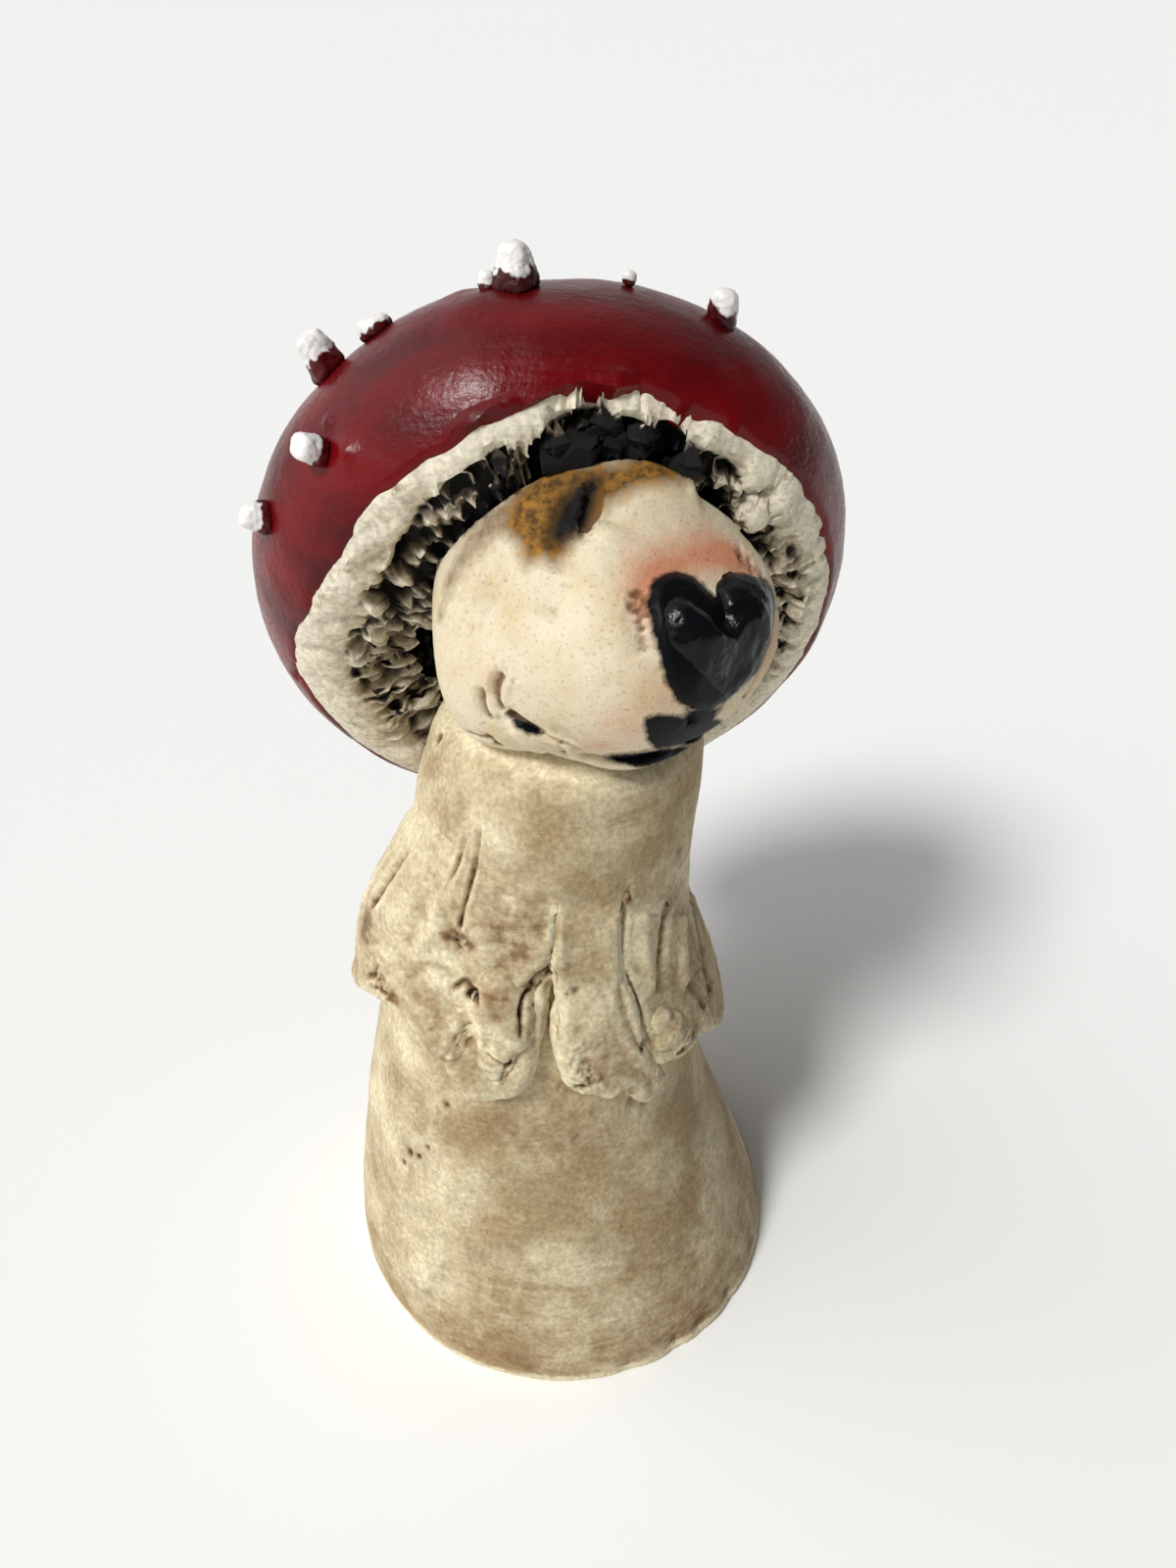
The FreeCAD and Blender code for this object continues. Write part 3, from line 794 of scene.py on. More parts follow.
# Pale crumbs of torn clay that stand out of gaps painted nearly black as shade.
CARVED_CLAY = Bisque(
    name="carved_clay_with_dark_wash_and_painted_shade", clay="#a9987a", pale="#e6ddc6", grey="#847760", wash_and_shade="#463420",
    deep="#060403", wash_and_shade_gain=2.0, pale_gain=1.4, cloud=9.0, mottle=2.0, sand_bump=0.1,
)
HEAD_PAINT = HeadPaint()
# A deep wet red, a black that shows by its shine alone, and red pegs whose tips are chalk white.
RED_ENAMEL = GlossPaint("red_brushed_enamel", "#4d0408", "#70070d", "#4d2226", Mark.PALE, 0.27, 0.25)
BLACK_ENAMEL = GlossPaint(
    "black_brushed_enamel", "#08090b", "#101216", "#4a3e34", Mark.PALE, 0.2, 0.2, peel_height=0.12)
WART_ENAMEL = GlossPaint("white_dabbed_on_red_enamel", "#3c0508", "#5d070c", "#e9e6e2", Mark.TIP, 0.32)


def worked(points: np.ndarray) -> np.ndarray:
    """Height of the hand-worked unevenness that all bare clay shares, in millimetres."""
    broad, middling = GRAIN.smooth(points, 17.0), GRAIN.smooth(points + 90.0, 6.5)
    return 0.28 * broad + 0.14 * middling + 0.05 * GRAIN.fractal(points, 2.4, 2)


@dataclass
class Stem:
    """Hollow stem with its floor, widest at the foot. Sizes in millimetres."""

    height: float = 118.0
    floor_radius: float = 39.4
    neck_radius: float = 21.2
    lean: float = -5.1
    slab: float = 7.0
    worn_edge: float = 1.8
    neck_edge: float = 5.5
    neck_slim: float = 3.0
    slim_side: float = 198.0
    pitch: float = 0.5
    # Height, flare and lean at each station, as shares.
    stations: tuple[tuple[float, float, float], ...] = (
        (0.0, 1.0, 0.0), (0.085, 0.912, 0.33), (0.186, 0.753, 0.62), (0.28, 0.593, 0.85), (0.373, 0.445, 1.0),
        (0.49, 0.308, 0.89), (0.644, 0.154, 0.53), (0.805, 0.044, 0.22), (0.907, 0.008, -0.04), (0.968, -0.02, -0.04),
        (1.0, -0.1, -0.04),
    )
    # Darker patches: a flat band under the skirt's hem, the neck under the jaw and on its right under the cap, and low
    # on the right.
    dark_patches: tuple[Dab, ...] = dabs(
        (545, 1160, 9.0, 0, 0, 0.55, 0.5), (500, 1150, 5.0, 0, 0, 0.4, 0.6), (590, 1165, 6.0, 0, 0, 0.3, 0.8),
        (430, 1120, 7.0, 0, 0, 0.42, 2.2), (415, 1180, 3.0, 0, 0, 0.5), (700, 850, 5.0, 0, 0, 0.3, 2.5),
        (655, 815, 6.0, 0, 0, 0.45, 1.0), (470, 775, 5.0, 0, 0, 0.35, 1.2), (540, 800, 7.0, 0, 0, 0.15),
        (690, 900, 5.0, 0, 0, 0.4, 2.0), (600, 1270, 7.0, 0, 0, 0.15, 2.0), (700, 1230, 8.0, 0, 0, 0.25, 1.6),
        (600, 1400, 16.0, 0, 0, 0.25, 0.5), (480, 1380, 10.0, 0, 0, 0.2, 0.6), (700, 1340, 10.0, 0, 0, 0.35, 0.6),
        (520, 960, 5.0, 0, 0, 0.2), (430, 1020, 6.0, 0, 0, 0.2),
    )
    pits_and_dark_spots: tuple[Dab, ...] = dabs(
        (418, 1176, 0.7, 0.5, 0, 0.8), (427, 1180, 0.5, 0.5, 0, 0.8), (412, 1186, 0.5, 0.4, 0, 0.8),
        (436, 1171, 0.6, 0.4, 0, 0.6), (455, 1128, 0.7, 0.5, 0, 0.8), (690, 1372, 2.4, 0.9, 0.7, 0.4),
        (716, 1352, 2.0, 0.7, 0.5, 0.4), (744, 1318, 2.2, 0.6, 0.6, 0.4), (640, 1398, 1.6, 0.4, 0.4),
    )
    # The vent is dug in and painted dark, as the shade inside the hole.
    vent: tuple[Dab, ...] = dabs((446, 753, 0.75, 2.2, 0, 3.0))
    scratches: tuple[Stroke, ...] = strokes(
        ((432, 1245, 520, 1262, 610, 1266), 0.5, 0.1, 0.05), ((440, 1290, 520, 1310, 590, 1315), 0.6, 0.12, 0.05),
        ((480, 1330, 560, 1345, 640, 1340), 0.5, 0.1, 0.04), ((560, 1230, 640, 1236, 700, 1224), 0.5, 0.1, 0.05),
        ((455, 1352, 520, 1372, 600, 1378), 0.5, 0.1, 0.05), ((400, 1210, 450, 1228, 500, 1236), 0.4, 0.08, 0.04),
        ((600, 1296, 680, 1290, 740, 1262), 0.5, 0.1, 0.05), ((470, 1205, 540, 1216, 600, 1214), 0.4, 0.08, 0.04),
    )
    forms: dict[str, Form] = field(default_factory=dict)

    def middle_and_radius(self, height: np.ndarray) -> tuple[np.ndarray, np.ndarray]:
        """Sideways place of the stem's axis, and its radius, at some heights."""
        places, flares, leans = np.array(self.stations).T
        share = height / self.height
        radius = self.neck_radius + (self.floor_radius - self.neck_radius) * through(places, flares, share)
        return self.lean * through(places, leans, share), radius

    def wall(self, heights: np.ndarray, inset: np.ndarray) -> np.ndarray:
        """Rings of the stem's skin, bottom first.

        Args:
            heights: Height of each ring.
            inset: How far each ring is drawn in.

        Returns:
            Points by ring and place round it.
        """
        count = int(math.tau * self.floor_radius / self.pitch)
        turn = np.linspace(0, math.tau, count, False)
        middle, radius = self.middle_and_radius(heights)
        spoke = np.stack([np.cos(turn), np.sin(turn), np.zeros(count)], axis=-1)
        side = smoothstep(0.1, 0.9, np.cos(turn - math.radians(self.slim_side)))
        slim = self.neck_slim * smoothstep(15.0, 1.0, self.height - heights)[:, None] * side[None]
        rings = spoke[None] * ((radius - inset)[:, None] - slim)[..., None]
        rings[..., 0] += middle[:, None]
        rings[..., 2] += heights[:, None]
        lift = worked(rings.reshape(-1, 3)).reshape(rings.shape[:2])
        return rings + spoke[None] * lift[..., None]

    def shape(self) -> None:
        """Model the floor slab and the stem."""
        for node, low, high in (("base_slab", 0.0, self.slab), ("stem_body", self.slab, self.height)):
            heights = np.linspace(low, high, int((high - low) / self.pitch) + 1)
            foot = self.worn_edge * 0.8 * round_over(1 - heights / self.worn_edge)
            neck = self.neck_edge * round_over(1 - (self.height - heights) / self.neck_edge)
            self.forms[node] = tube_form(self.wall(heights, foot + neck))

    def carve(self, canvas: Canvas) -> None:
        """Work the tool marks, pits and dark patches into the stem."""
        found = canvas.find((*self.scratches, *self.pits_and_dark_spots, *self.dark_patches, *self.vent))
        for form in self.forms.values():
            work(form, found)
            form.points[:, 2] = np.maximum(form.points[:, 2], 0.0)
            form.add_hollows(4, 24)
            height = form.points[:, 2]
            form.marks[Mark.HOLLOW] *= smoothstep(3.0, 9.0, np.abs(height - self.slab))
            # Darker towards the foot.
            form.marks[Mark.STAIN_AND_SHADE] += 0.42 * smoothstep(38.0, 4.0, height + 8.0 * GRAIN.smooth(form.points, 20.0))

    def dress(self) -> None:
        """Stand both pieces in their finish."""
        finish = BISQUE.material()
        for node, form in self.forms.items():
            form.stand(node, Slot.BISQUE, finish)


@dataclass
class Curtain:
    """Flared surface that every flap of the skirt follows, about the skirt's own axis."""

    stem: Stem
    axis: float = -3.4
    hem_height: float = 50.0
    depth: float = 58.0
    reach: float = 31.0
    feather: float = 0.7
    bulge: float = 2.1
    first: float = 151.0
    # Azimuth of each station, then the shares of top height, hem height and reach there.
    azimuths: tuple[float, ...] = (151, 175, 203, 222, 238, 252, 264, 277, 295, 312, 338, 369, 416, 460, 484)
    tops: tuple[float, ...] = (0.62, 0.82, 0.92, 0.94, 0.92, 0.88, 0.84, 0.83, 0.8, 0.74, 0.6, 0.5, 0.5, 0.52, 0.54)
    hems: tuple[float, ...] = (0.22, 0.24, 0.35, 0.4, 0.38, 0.36, 0.33, 0.29, 0.21, 0.22, 0.15, 0.14, 0.19, 0.13, 0.2)
    reaches: tuple[float, ...] = (
        0.96, 0.985, 1.0, 0.99, 0.985, 0.97, 0.96, 0.965, 1.0, 0.95, 1.0, 0.97, 0.965, 0.96, 0.965,
    )

    def turned(self, azimuth: np.ndarray) -> np.ndarray:
        """Azimuths brought into the first turn of the table."""
        return np.mod(azimuth - self.first, 360) + self.first

    def read(self, values: tuple[float, ...], azimuth: np.ndarray) -> np.ndarray:
        """Read a table round the skirt at some azimuths."""
        turns = np.array(self.azimuths, float)
        places = np.concatenate([turns - 360, turns, turns + 360])
        return through(places, np.tile(np.array(values), 3), self.turned(azimuth))

    def top(self, azimuth: np.ndarray) -> np.ndarray:
        """Height where the skirt leaves the stem."""
        return self.hem_height + self.depth * self.read(self.tops, azimuth)

    def radius(self, azimuth: np.ndarray, height: np.ndarray) -> np.ndarray:
        """Distance from the skirt's axis to the curtain, at degrees round the axis and heights."""
        low = self.hem_height + self.depth * self.read(self.hems, azimuth)
        top = self.top(azimuth)
        turned = self.turned(azimuth)
        share = np.clip((top - height) / (top - low), 0, 1.25)
        full = 0.45 + 0.45 * bell(turned - 183, 42)
        swell = (1 - full) * smoothstep(0, 0.95, share) + full * np.sin(np.clip(share, 0, 0.85) / 0.85 * math.pi / 2)
        out = self.reach * self.read(self.reaches, azimuth) - self.stem_edge(azimuth, low)
        bulge = self.bulge * bell(turned - 190, 24) * bell(height - 82, 11)
        return self.stem_edge(azimuth, height) - self.feather * smoothstep(0.12, 0, share) + out * swell + bulge

    def stem_edge(self, azimuth: np.ndarray, height: np.ndarray) -> np.ndarray:
        """Distance from the skirt's axis to the stem."""
        middle, radius = self.stem.middle_and_radius(height)
        return radius + (middle - self.axis) * np.cos(np.radians(azimuth))

    def points(self, azimuth: np.ndarray, height: np.ndarray, lift: np.ndarray) -> np.ndarray:
        """Points at azimuths and heights, lifted off the curtain."""
        radius, turn = self.radius(azimuth, height) + lift, np.radians(azimuth)
        return np.stack([self.axis + radius * np.cos(turn), radius * np.sin(turn), height], axis=-1)

    def locate(self, line: Line) -> list[tuple[float, float]]:
        """Azimuth from 150 to 510 and height where the ray of each pixel meets the curtain."""
        places = []
        for pixel in pairs(line):
            path = CAMERA.place + CAMERA.ray(pixel)[None] * np.linspace(100, 260, 1601)[:, None]
            azimuth = np.mod(np.degrees(np.arctan2(path[:, 1], path[:, 0] - self.axis)) - 150, 360) + 150
            gap = np.hypot(path[:, 0] - self.axis, path[:, 1]) - self.radius(azimuth, path[:, 2])
            hit = np.argmax(gap <= 0) if np.any(gap <= 0) else np.argmin(gap)
            places.append((float(azimuth[hit]), float(path[hit, 2])))
        return places


@dataclass
class Lappet:
    """One flap of the skirt, its free edges given by pixels or by azimuth and height."""

    node: str
    left: Line = ()
    hem: Line = ()
    right: Line = ()
    hem_before: Line = ()
    hem_after: Line = ()
    start: float | None = None
    end: float | None = None
    sink: float = 0.0
    top_height: float | None = None
    open_left: float = 0.0
    open_right: float = 0.0
    tuck: float = 0.0
    edge: float = 2.2
    bulge: float = 0.7
    pitch: float = 0.33
    wall_steps: tuple[float, ...] = (0.15, 0.35, 0.6, 1.0)
    buried: float = 2.5
    heart_depth: float = 14.0

    def ends(self, curtain: Curtain) -> tuple[np.ndarray, np.ndarray, np.ndarray]:
        """Left edge, hem and right edge as azimuths and heights."""
        before, after = (list(map(tuple, pairs(line))) for line in (self.hem_before, self.hem_after))
        hem = [*before, *curtain.locate(self.hem), *after]
        edges = []
        for line, azimuth, corner in ((self.left, self.start, hem[0]), (self.right, self.end, hem[-1])):
            side = curtain.locate(line) or [corner]
            at = side[0][0] if azimuth is None else azimuth
            top = self.top_height or float(curtain.top(np.array([at]))[0])
            last = [] if side[-1] == corner else [corner]
            edges.append(np.array([(at, top), *side, *last]))
        return edges[0], np.array(hem), edges[1]

    def shape(self, curtain: Curtain) -> Form:
        """Model the flap on the curtain."""
        left, hem, right = self.ends(curtain)
        arc = math.tau / 360 * curtain.reach
        left[1:-1, 0] -= self.tuck / arc * (left[1:-1, 1] > self.open_left)
        rows = int(max(np.ptp(left[:, 1]), np.ptp(right[:, 1])) / self.pitch) + 8
        columns = int(abs(hem[-1, 0] - hem[0, 0]) * arc / self.pitch) + 8
        left, right, hem = evenly(left, rows, arc), evenly(right, rows, arc), evenly(hem, columns, arc)
        across = np.linspace(0, 1, columns)
        top = np.stack([left[0, 0] + (right[0, 0] - left[0, 0]) * across, np.zeros(columns)], axis=-1)
        top[:, 1] = self.top_height or curtain.top(top[:, 0])
        down, u = np.linspace(0, 1, rows)[:, None, None], across[None, :, None]
        grid = (1 - down) * top[None] + down * hem[None] + (1 - u) * left[:, None] + u * right[:, None]
        grid -= (1 - down) * ((1 - u) * left[0] + u * right[0]) + down * ((1 - u) * hem[0] + u * hem[-1])
        away = self.free_distance(grid, (hem, left, right), arc)
        lift = self.bulge * bell(away - self.edge * 1.1, self.edge * 0.9) - self.sink
        lift -= self.edge * round_over(1 - away / self.edge)
        if self.tuck:
            under = smoothstep(self.tuck * 1.4, 0, np.abs(grid[..., 0] - left[:, :1]) * arc)
            lift -= 0.7 * under * smoothstep(self.open_left - 2.0, self.open_left + 2.0, grid[..., 1])
        rim, rim_lift, middle = rim_of(grid), rim_of(lift), grid.mean(axis=(0, 1))
        deep = curtain.stem_edge(rim[:, 0], rim[:, 1]) - curtain.radius(rim[:, 0], rim[:, 1]) - self.buried
        walls = []
        for share in self.wall_steps:
            drawn = rim + (middle - rim) * (0.012 * share)
            sunk = rim_lift + (np.minimum(deep, rim_lift - 0.5) - rim_lift) * share
            walls.append(curtain.points(drawn[:, 0], drawn[:, 1], sunk))
        heart = curtain.points(middle[:1], middle[1:], np.array([-self.heart_depth]))[0]
        return patch_form(curtain.points(grid[..., 0], grid[..., 1], lift), walls, heart)

    def free_distance(self, grid: np.ndarray, edges: tuple[np.ndarray, ...], arc: float) -> np.ndarray:
        """Distance from the face's points to the flap's free edges, on the flap laid flat.

        Args:
            grid: Azimuth and height of each point of the face.
            edges: Points of the hem, the left edge and the right edge.
            arc: Millimetres per degree.

        Returns:
            The distances.
        """
        hem, left, right = edges
        free = [hem, left[left[:, 1] < self.open_left], right[right[:, 1] < self.open_right]]
        scale = np.array([arc, 1.0])
        places, flat = np.concatenate(free) * scale, grid.reshape(-1, 2) * scale
        best = np.full(len(flat), 1 / TINY)
        for start in range(0, len(places), 40):
            gap = np.linalg.norm(flat[:, None] - places[None, start:start + 40], axis=2).min(axis=1)
            best = np.minimum(best, gap)
        return best.reshape(grid.shape[:2])


@dataclass
class Lumps:
    """Small lumps of clay pressed together on the skirt, each with its pixel, radius and sink."""

    node: str
    balls: tuple[tuple[float, ...], ...]
    voxel: float = 0.28

    def shape(self, curtain: Curtain) -> Form:
        """Model the lumps in one skin."""
        parts = []
        for x, y, radius, sink in self.balls:
            place = np.array(curtain.locate((x, y)))
            parts.append((curtain.points(place[:, 0], place[:, 1], np.array([-sink]))[0], radius))
        form = remeshed("", parts, self.voxel)
        form.points = form.relaxed(form.points, 5)
        return form


@dataclass
class Skirt:
    """Torn skirt round the stem: flaps pinched out by hand, with grooves pressed by a tool."""

    curtain: Curtain
    lappets: tuple[Lappet, ...] = (
        Lappet(
            "skirt_left_lappet", start=151.0,
            hem_before=(151.0, 62.8, 165.0, 62.5, 178.0, 64.2, 190.0, 66.5, 200.0, 69.0), hem=(398, 1031, 411, 1044,
            429, 1066, 444, 1080, 460, 1083, 474, 1072, 488, 1062, 500, 1070, 513, 1073, 525, 1062, 533, 1046),
            right=(567, 942, 564, 978, 559, 988, 547, 999, 537, 1012, 533, 1026), open_left=200.0, open_right=89.0,
        ),
        Lappet(
            "skirt_front_lappet",
            left=(567, 942, 565, 978, 563, 995, 567, 1014, 569, 1026, 565, 1045, 564, 1065, 567, 1090),
            hem=(575, 1110, 589, 1118, 608, 1121, 624, 1125, 638, 1115, 652, 1127, 661, 1128, 672, 1112, 684, 1096),
            right=(643, 907, 636, 935, 634, 960, 637, 987, 651, 1022, 661, 1057, 669, 1076), open_left=88.0,
            open_right=92.0, tuck=1.0,
        ),
        Lappet(
            "skirt_right_lappet", left=(643, 907, 636, 935, 634, 960, 637, 987, 651, 1022, 661, 1057, 669, 1076),
            hem=(680, 1086, 692, 1084, 704, 1073, 714, 1060), hem_after=(338.0, 58.7, 352.0, 57.0, 369.5, 58.4),
            end=369.5, open_right=200.0, tuck=1.8, bulge=0.9,
        ),
        Lappet(
            "skirt_back_right_lappet", start=370.0, end=438.5, open_left=200.0, open_right=200.0, hem_before=(370.0,
            59.2, 378.0, 57.6, 387.0, 56.4, 396.0, 57.5, 404.0, 60.5, 412.0, 61.6, 421.0, 60.2, 430.0, 58.0, 438.5,
            59.4),
        ),
        Lappet(
            "skirt_back_left_lappet", start=439.2, end=510.0, open_left=200.0, open_right=200.0, hem_before=(439.2,
            59.6, 448.0, 58.2, 458.0, 57.3, 467.0, 58.6, 476.0, 61.4, 485.0, 62.2, 494.0, 60.0, 503.0, 60.8, 510.0,
            62.4),
        ),
        Lappet(
            "skirt_tongue", left=(453, 1040, 447, 1058, 446, 1080),
            hem=(450, 1098, 459, 1113, 474, 1124, 498, 1131, 524, 1128, 539, 1118, 547, 1103),
            right=(543, 1036, 549, 1060, 550, 1084), sink=0.5, top_height=80.0, open_left=100.0, open_right=100.0,
            edge=2.4, bulge=0.6,
        ),
        Lappet(
            "skirt_inner_strip", left=(556, 990, 543, 1006, 536, 1030, 533, 1056),
            hem=(533, 1078, 541, 1086, 550, 1083), right=(562, 992, 563, 1010, 561, 1035, 556, 1062), sink=1.3,
            open_left=95.0, open_right=95.0, edge=1.8, bulge=0.3, top_height=92.0,
        ),
    )
    lumps: tuple[Lumps, ...] = (
        Lumps("skirt_left_pinch", (
            (506, 1012, 4.0, 2.6), (514, 1026, 4.0, 2.0), (497, 1030, 3.2, 1.6), (522, 1042, 3.2, 1.3),
            (495, 1048, 2.6, 0.8), (512, 1050, 3.4, 1.2), (523, 1060, 2.7, 0.6), (497, 1066, 2.3, 0.9),
            (510, 1070, 3.0, 0.7), (501, 1082, 2.4, 0.9), (512, 1086, 2.1, 1.0), (506, 1096, 1.8, 1.0),
            (508, 1105, 1.4, 1.1), (509, 1111, 0.9, 1.3),
        )),
        Lumps("skirt_left_curl", (
            (441, 1062, 2.3, 1.1), (449, 1071, 2.4, 1.0), (458, 1073, 2.0, 0.9), (465, 1069, 1.6, 0.7),
            (469, 1060, 1.4, 0.9), (474, 1052, 1.3, 0.9),
        )),
        Lumps("skirt_ball", (
            (683, 1050, 3.3, 0.9), (692, 1056, 2.9, 0.7), (674, 1042, 2.6, 1.0), (688, 1066, 2.2, 0.9),
            (676, 1060, 2.4, 0.8), (697, 1046, 2.4, 1.2),
        )),
    )
    grooves: tuple[Stroke, ...] = strokes(
        ((476, 853, 471, 868, 465, 886, 457, 905, 450, 922), 0.36, 0.6, 0.12, 0.3),
        ((489, 838, 488, 858, 485, 880, 479, 905, 472, 930, 467, 955), 0.36, 0.7, 0.12, 0.35),
        ((418, 866, 408, 880, 398, 896, 388, 912, 378, 926), 0.8, 0.7, 0.25, 0.5),
        ((406, 862, 392, 882, 380, 902, 371, 922), 0.7, -0.5), ((430, 880, 420, 905, 408, 928, 396, 948), 1.5, -0.5),
        ((446, 888, 436, 915, 425, 942, 410, 965), 1.6, 0.5), ((462, 890, 452, 920, 440, 950, 424, 985), 1.5, -0.6),
        ((567, 930, 567, 950, 565, 972, 561, 988), 0.5, 0.8, 0.05, 0.35),
        ((643, 904, 638, 925, 634, 958, 635, 986, 646, 1009, 653, 1032, 661, 1055, 668, 1074), 0.6, 0.7, 0.1, 0.35),
        ((684, 915, 679, 935, 676, 960, 672, 985, 670, 1012), 0.9, 0.7, 0.12, 0.4),
        ((661, 925, 657, 955, 660, 985, 667, 1015), 1.7, -0.7),
        ((697, 930, 696, 960, 697, 985, 700, 1010), 1.6, -0.7),
        ((706, 915, 712, 945, 718, 975, 722, 1000), 1.1, 0.8, 0, 0.4),
        ((600, 950, 606, 990, 612, 1030, 616, 1065), 2.4, -0.55),
        ((578, 980, 584, 1020, 588, 1060), 1.7, 0.45, 0, 0.15),
        ((632, 1000, 640, 1035, 650, 1060, 657, 1073), 0.8, 0.5, 0.15, 0.3),
        ((525, 905, 534, 940, 540, 970, 536, 990), 2.2, -0.5), ((482, 945, 494, 968, 500, 990), 1.6, -0.4),
        ((415, 1000, 436, 984, 452, 990, 470, 998), 1.1, 0.35, 0, 0.1),
        # These two grooves are inked as the dark shadow lines of the V slit.
        ((565, 985, 552, 1000, 540, 1010, 533, 1026, 532, 1046, 534, 1062), 0.55, 0.9, 0, 0.9),
        ((566, 990, 566, 1010, 567, 1035, 566, 1060), 0.5, 0.8, 0, 0.8),
        ((393, 995, 410, 1012, 428, 1030, 446, 1046), 1.4, -0.45),
        ((460, 1010, 474, 1002, 482, 1014, 486, 1030), 0.6, 0.8, 0, 0.6),
        ((495, 1075, 503, 1083, 513, 1087, 523, 1086), 0.5, 0.6, 0, 0.5),
        ((524, 1080, 516, 1092, 511, 1106), 0.5, 0.45, 0, 0.5), ((700, 1000, 712, 1012, 722, 1030), 1.0, 0.7, 0, 0.5),
        ((690, 1078, 702, 1066, 709, 1050), 0.7, 0.7, 0, 0.6),
    )
    # The dark dents in the gap between curl and pinch and in the holes by the hem are painted shade as well as dug.
    dents: tuple[Dab, ...] = dabs(
        (467, 962, 2.2, 0.35, 0.9, 0.7), (457, 955, 1.4, 0.4, 0, 0.4), (478, 966, 1.2, 0.3, 0, 0.4),
        (471, 1064, 1.5, 2.6, 0, 0.9), (478, 1053, 1.1, 2.0, 0, 0.8), (482, 1015, 0.7, 1.5, 0, 1.0),
        (580, 1090, 3.4, 0, 0.55, 0.2), (575, 1108, 2.2, 0, 0.7, 0.4), (597, 1108, 2.4, 0, 0.7, 0.4),
        (588, 1012, 0.6, 0.6, 0, 0.8), (579, 1016, 0.5, 0.4, 0, 0.8), (590, 1070, 1.6, 0, 0.5),
        (592, 1110, 0.8, 1.2, 0, 0.9), (648, 1122, 1.6, 1.2, 0, 0.9), (660, 1124, 1.2, 0.9, 0, 0.8),
        (658, 1067, 0.8, 1.6, 0, 2.0), (381, 995, 3.0, 0, 0.8, 0.8), (390, 1012, 2.2, 0, 0.9, 0.9),
        (401, 1022, 1.2, 0.7, 0, 0.5), (378, 930, 4.2, 0, 0, 0.75), (395, 950, 4.0, 0, 0, 0.5),
        (372, 950, 3.0, 0, 0, 0.8), (437, 1028, 3.5, 0, 0, 0.8), (505, 1025, 4.0, 0, 0, 0.85),
        (500, 915, 7.0, 0, 0, 0.42), (540, 940, 5.0, 0, 0, 0.5), (535, 985, 4.0, 0, 0, 0.5),
        (515, 960, 4.0, 0, 0, 0.35), (640, 1092, 5.0, 0, 0, 0.5), (610, 1085, 4.0, 0, 0, 0.3),
        (725, 1009, 2.0, 0.4, 0.9, 1.2), (715, 985, 2.2, 0, 0.5, 0.5), (690, 1050, 3.0, 0, 0.35, 0.25),
        (676, 1095, 3.5, 0, 0.6, 0.5), (456, 1076, 2.6, 0, 0.4), (500, 1112, 4.0, 0, 0.25, 0.1),
    ) + dabs(
        (500, 1062, 2.4, 0, 0, 1.0), (503, 1092, 2.4, 0, 0, 1.0), (551, 1020, 3.0, 0, 0, 0.8),
        (400, 975, 4.0, 0, 0, 0.9), (425, 930, 4.5, 0, 0, 0.8), (450, 985, 4.0, 0, 0, 0.9),
        (585, 1080, 2.6, 0, 0, 1.0), (600, 1040, 4.0, 0, 0, 0.5), (470, 1112, 3.5, 0, 0, 0.7),
        (470, 1035, 3.0, 0, 0, 0.7), (520, 1070, 2.0, 0, 0, 0.7), (540, 1112, 2.5, 0, 0, 0.6), mark=Mark.PALE,
    )
    forms: dict[str, Form] = field(default_factory=dict)

    def shape(self) -> None:
        """Model the flaps and the lumps."""
        for piece in (*self.lappets, *self.lumps):
            self.forms[piece.node] = piece.shape(self.curtain)

    def carve(self, canvas: Canvas, stem: Form) -> None:
        """Work the folds, tool marks and crumbled places into the skirt, and on into the stem."""
        found = canvas.find((*self.grooves, *self.dents))
        for form in self.forms.values():
            form.push(worked(form.points))
            work(form, found)
            form.push(0.10 * GRAIN.fractal(form.points, 1.6, 2))
            form.add_hollows(5, 30)
            wiped = smoothstep(-0.6, 0.5, GRAIN.fractal(form.points + 20.0, 9.0, 2))
            form.marks[Mark.PALE] = form.mark(Mark.PALE) + 0.3 * wiped
        work(stem, found)

    def dress(self) -> None:
        """Stand the pieces in their finish."""
        finish = bpy.data.materials[BISQUE.name]
        for node, form in self.forms.items():
            form.stand(node, Slot.BISQUE, finish)


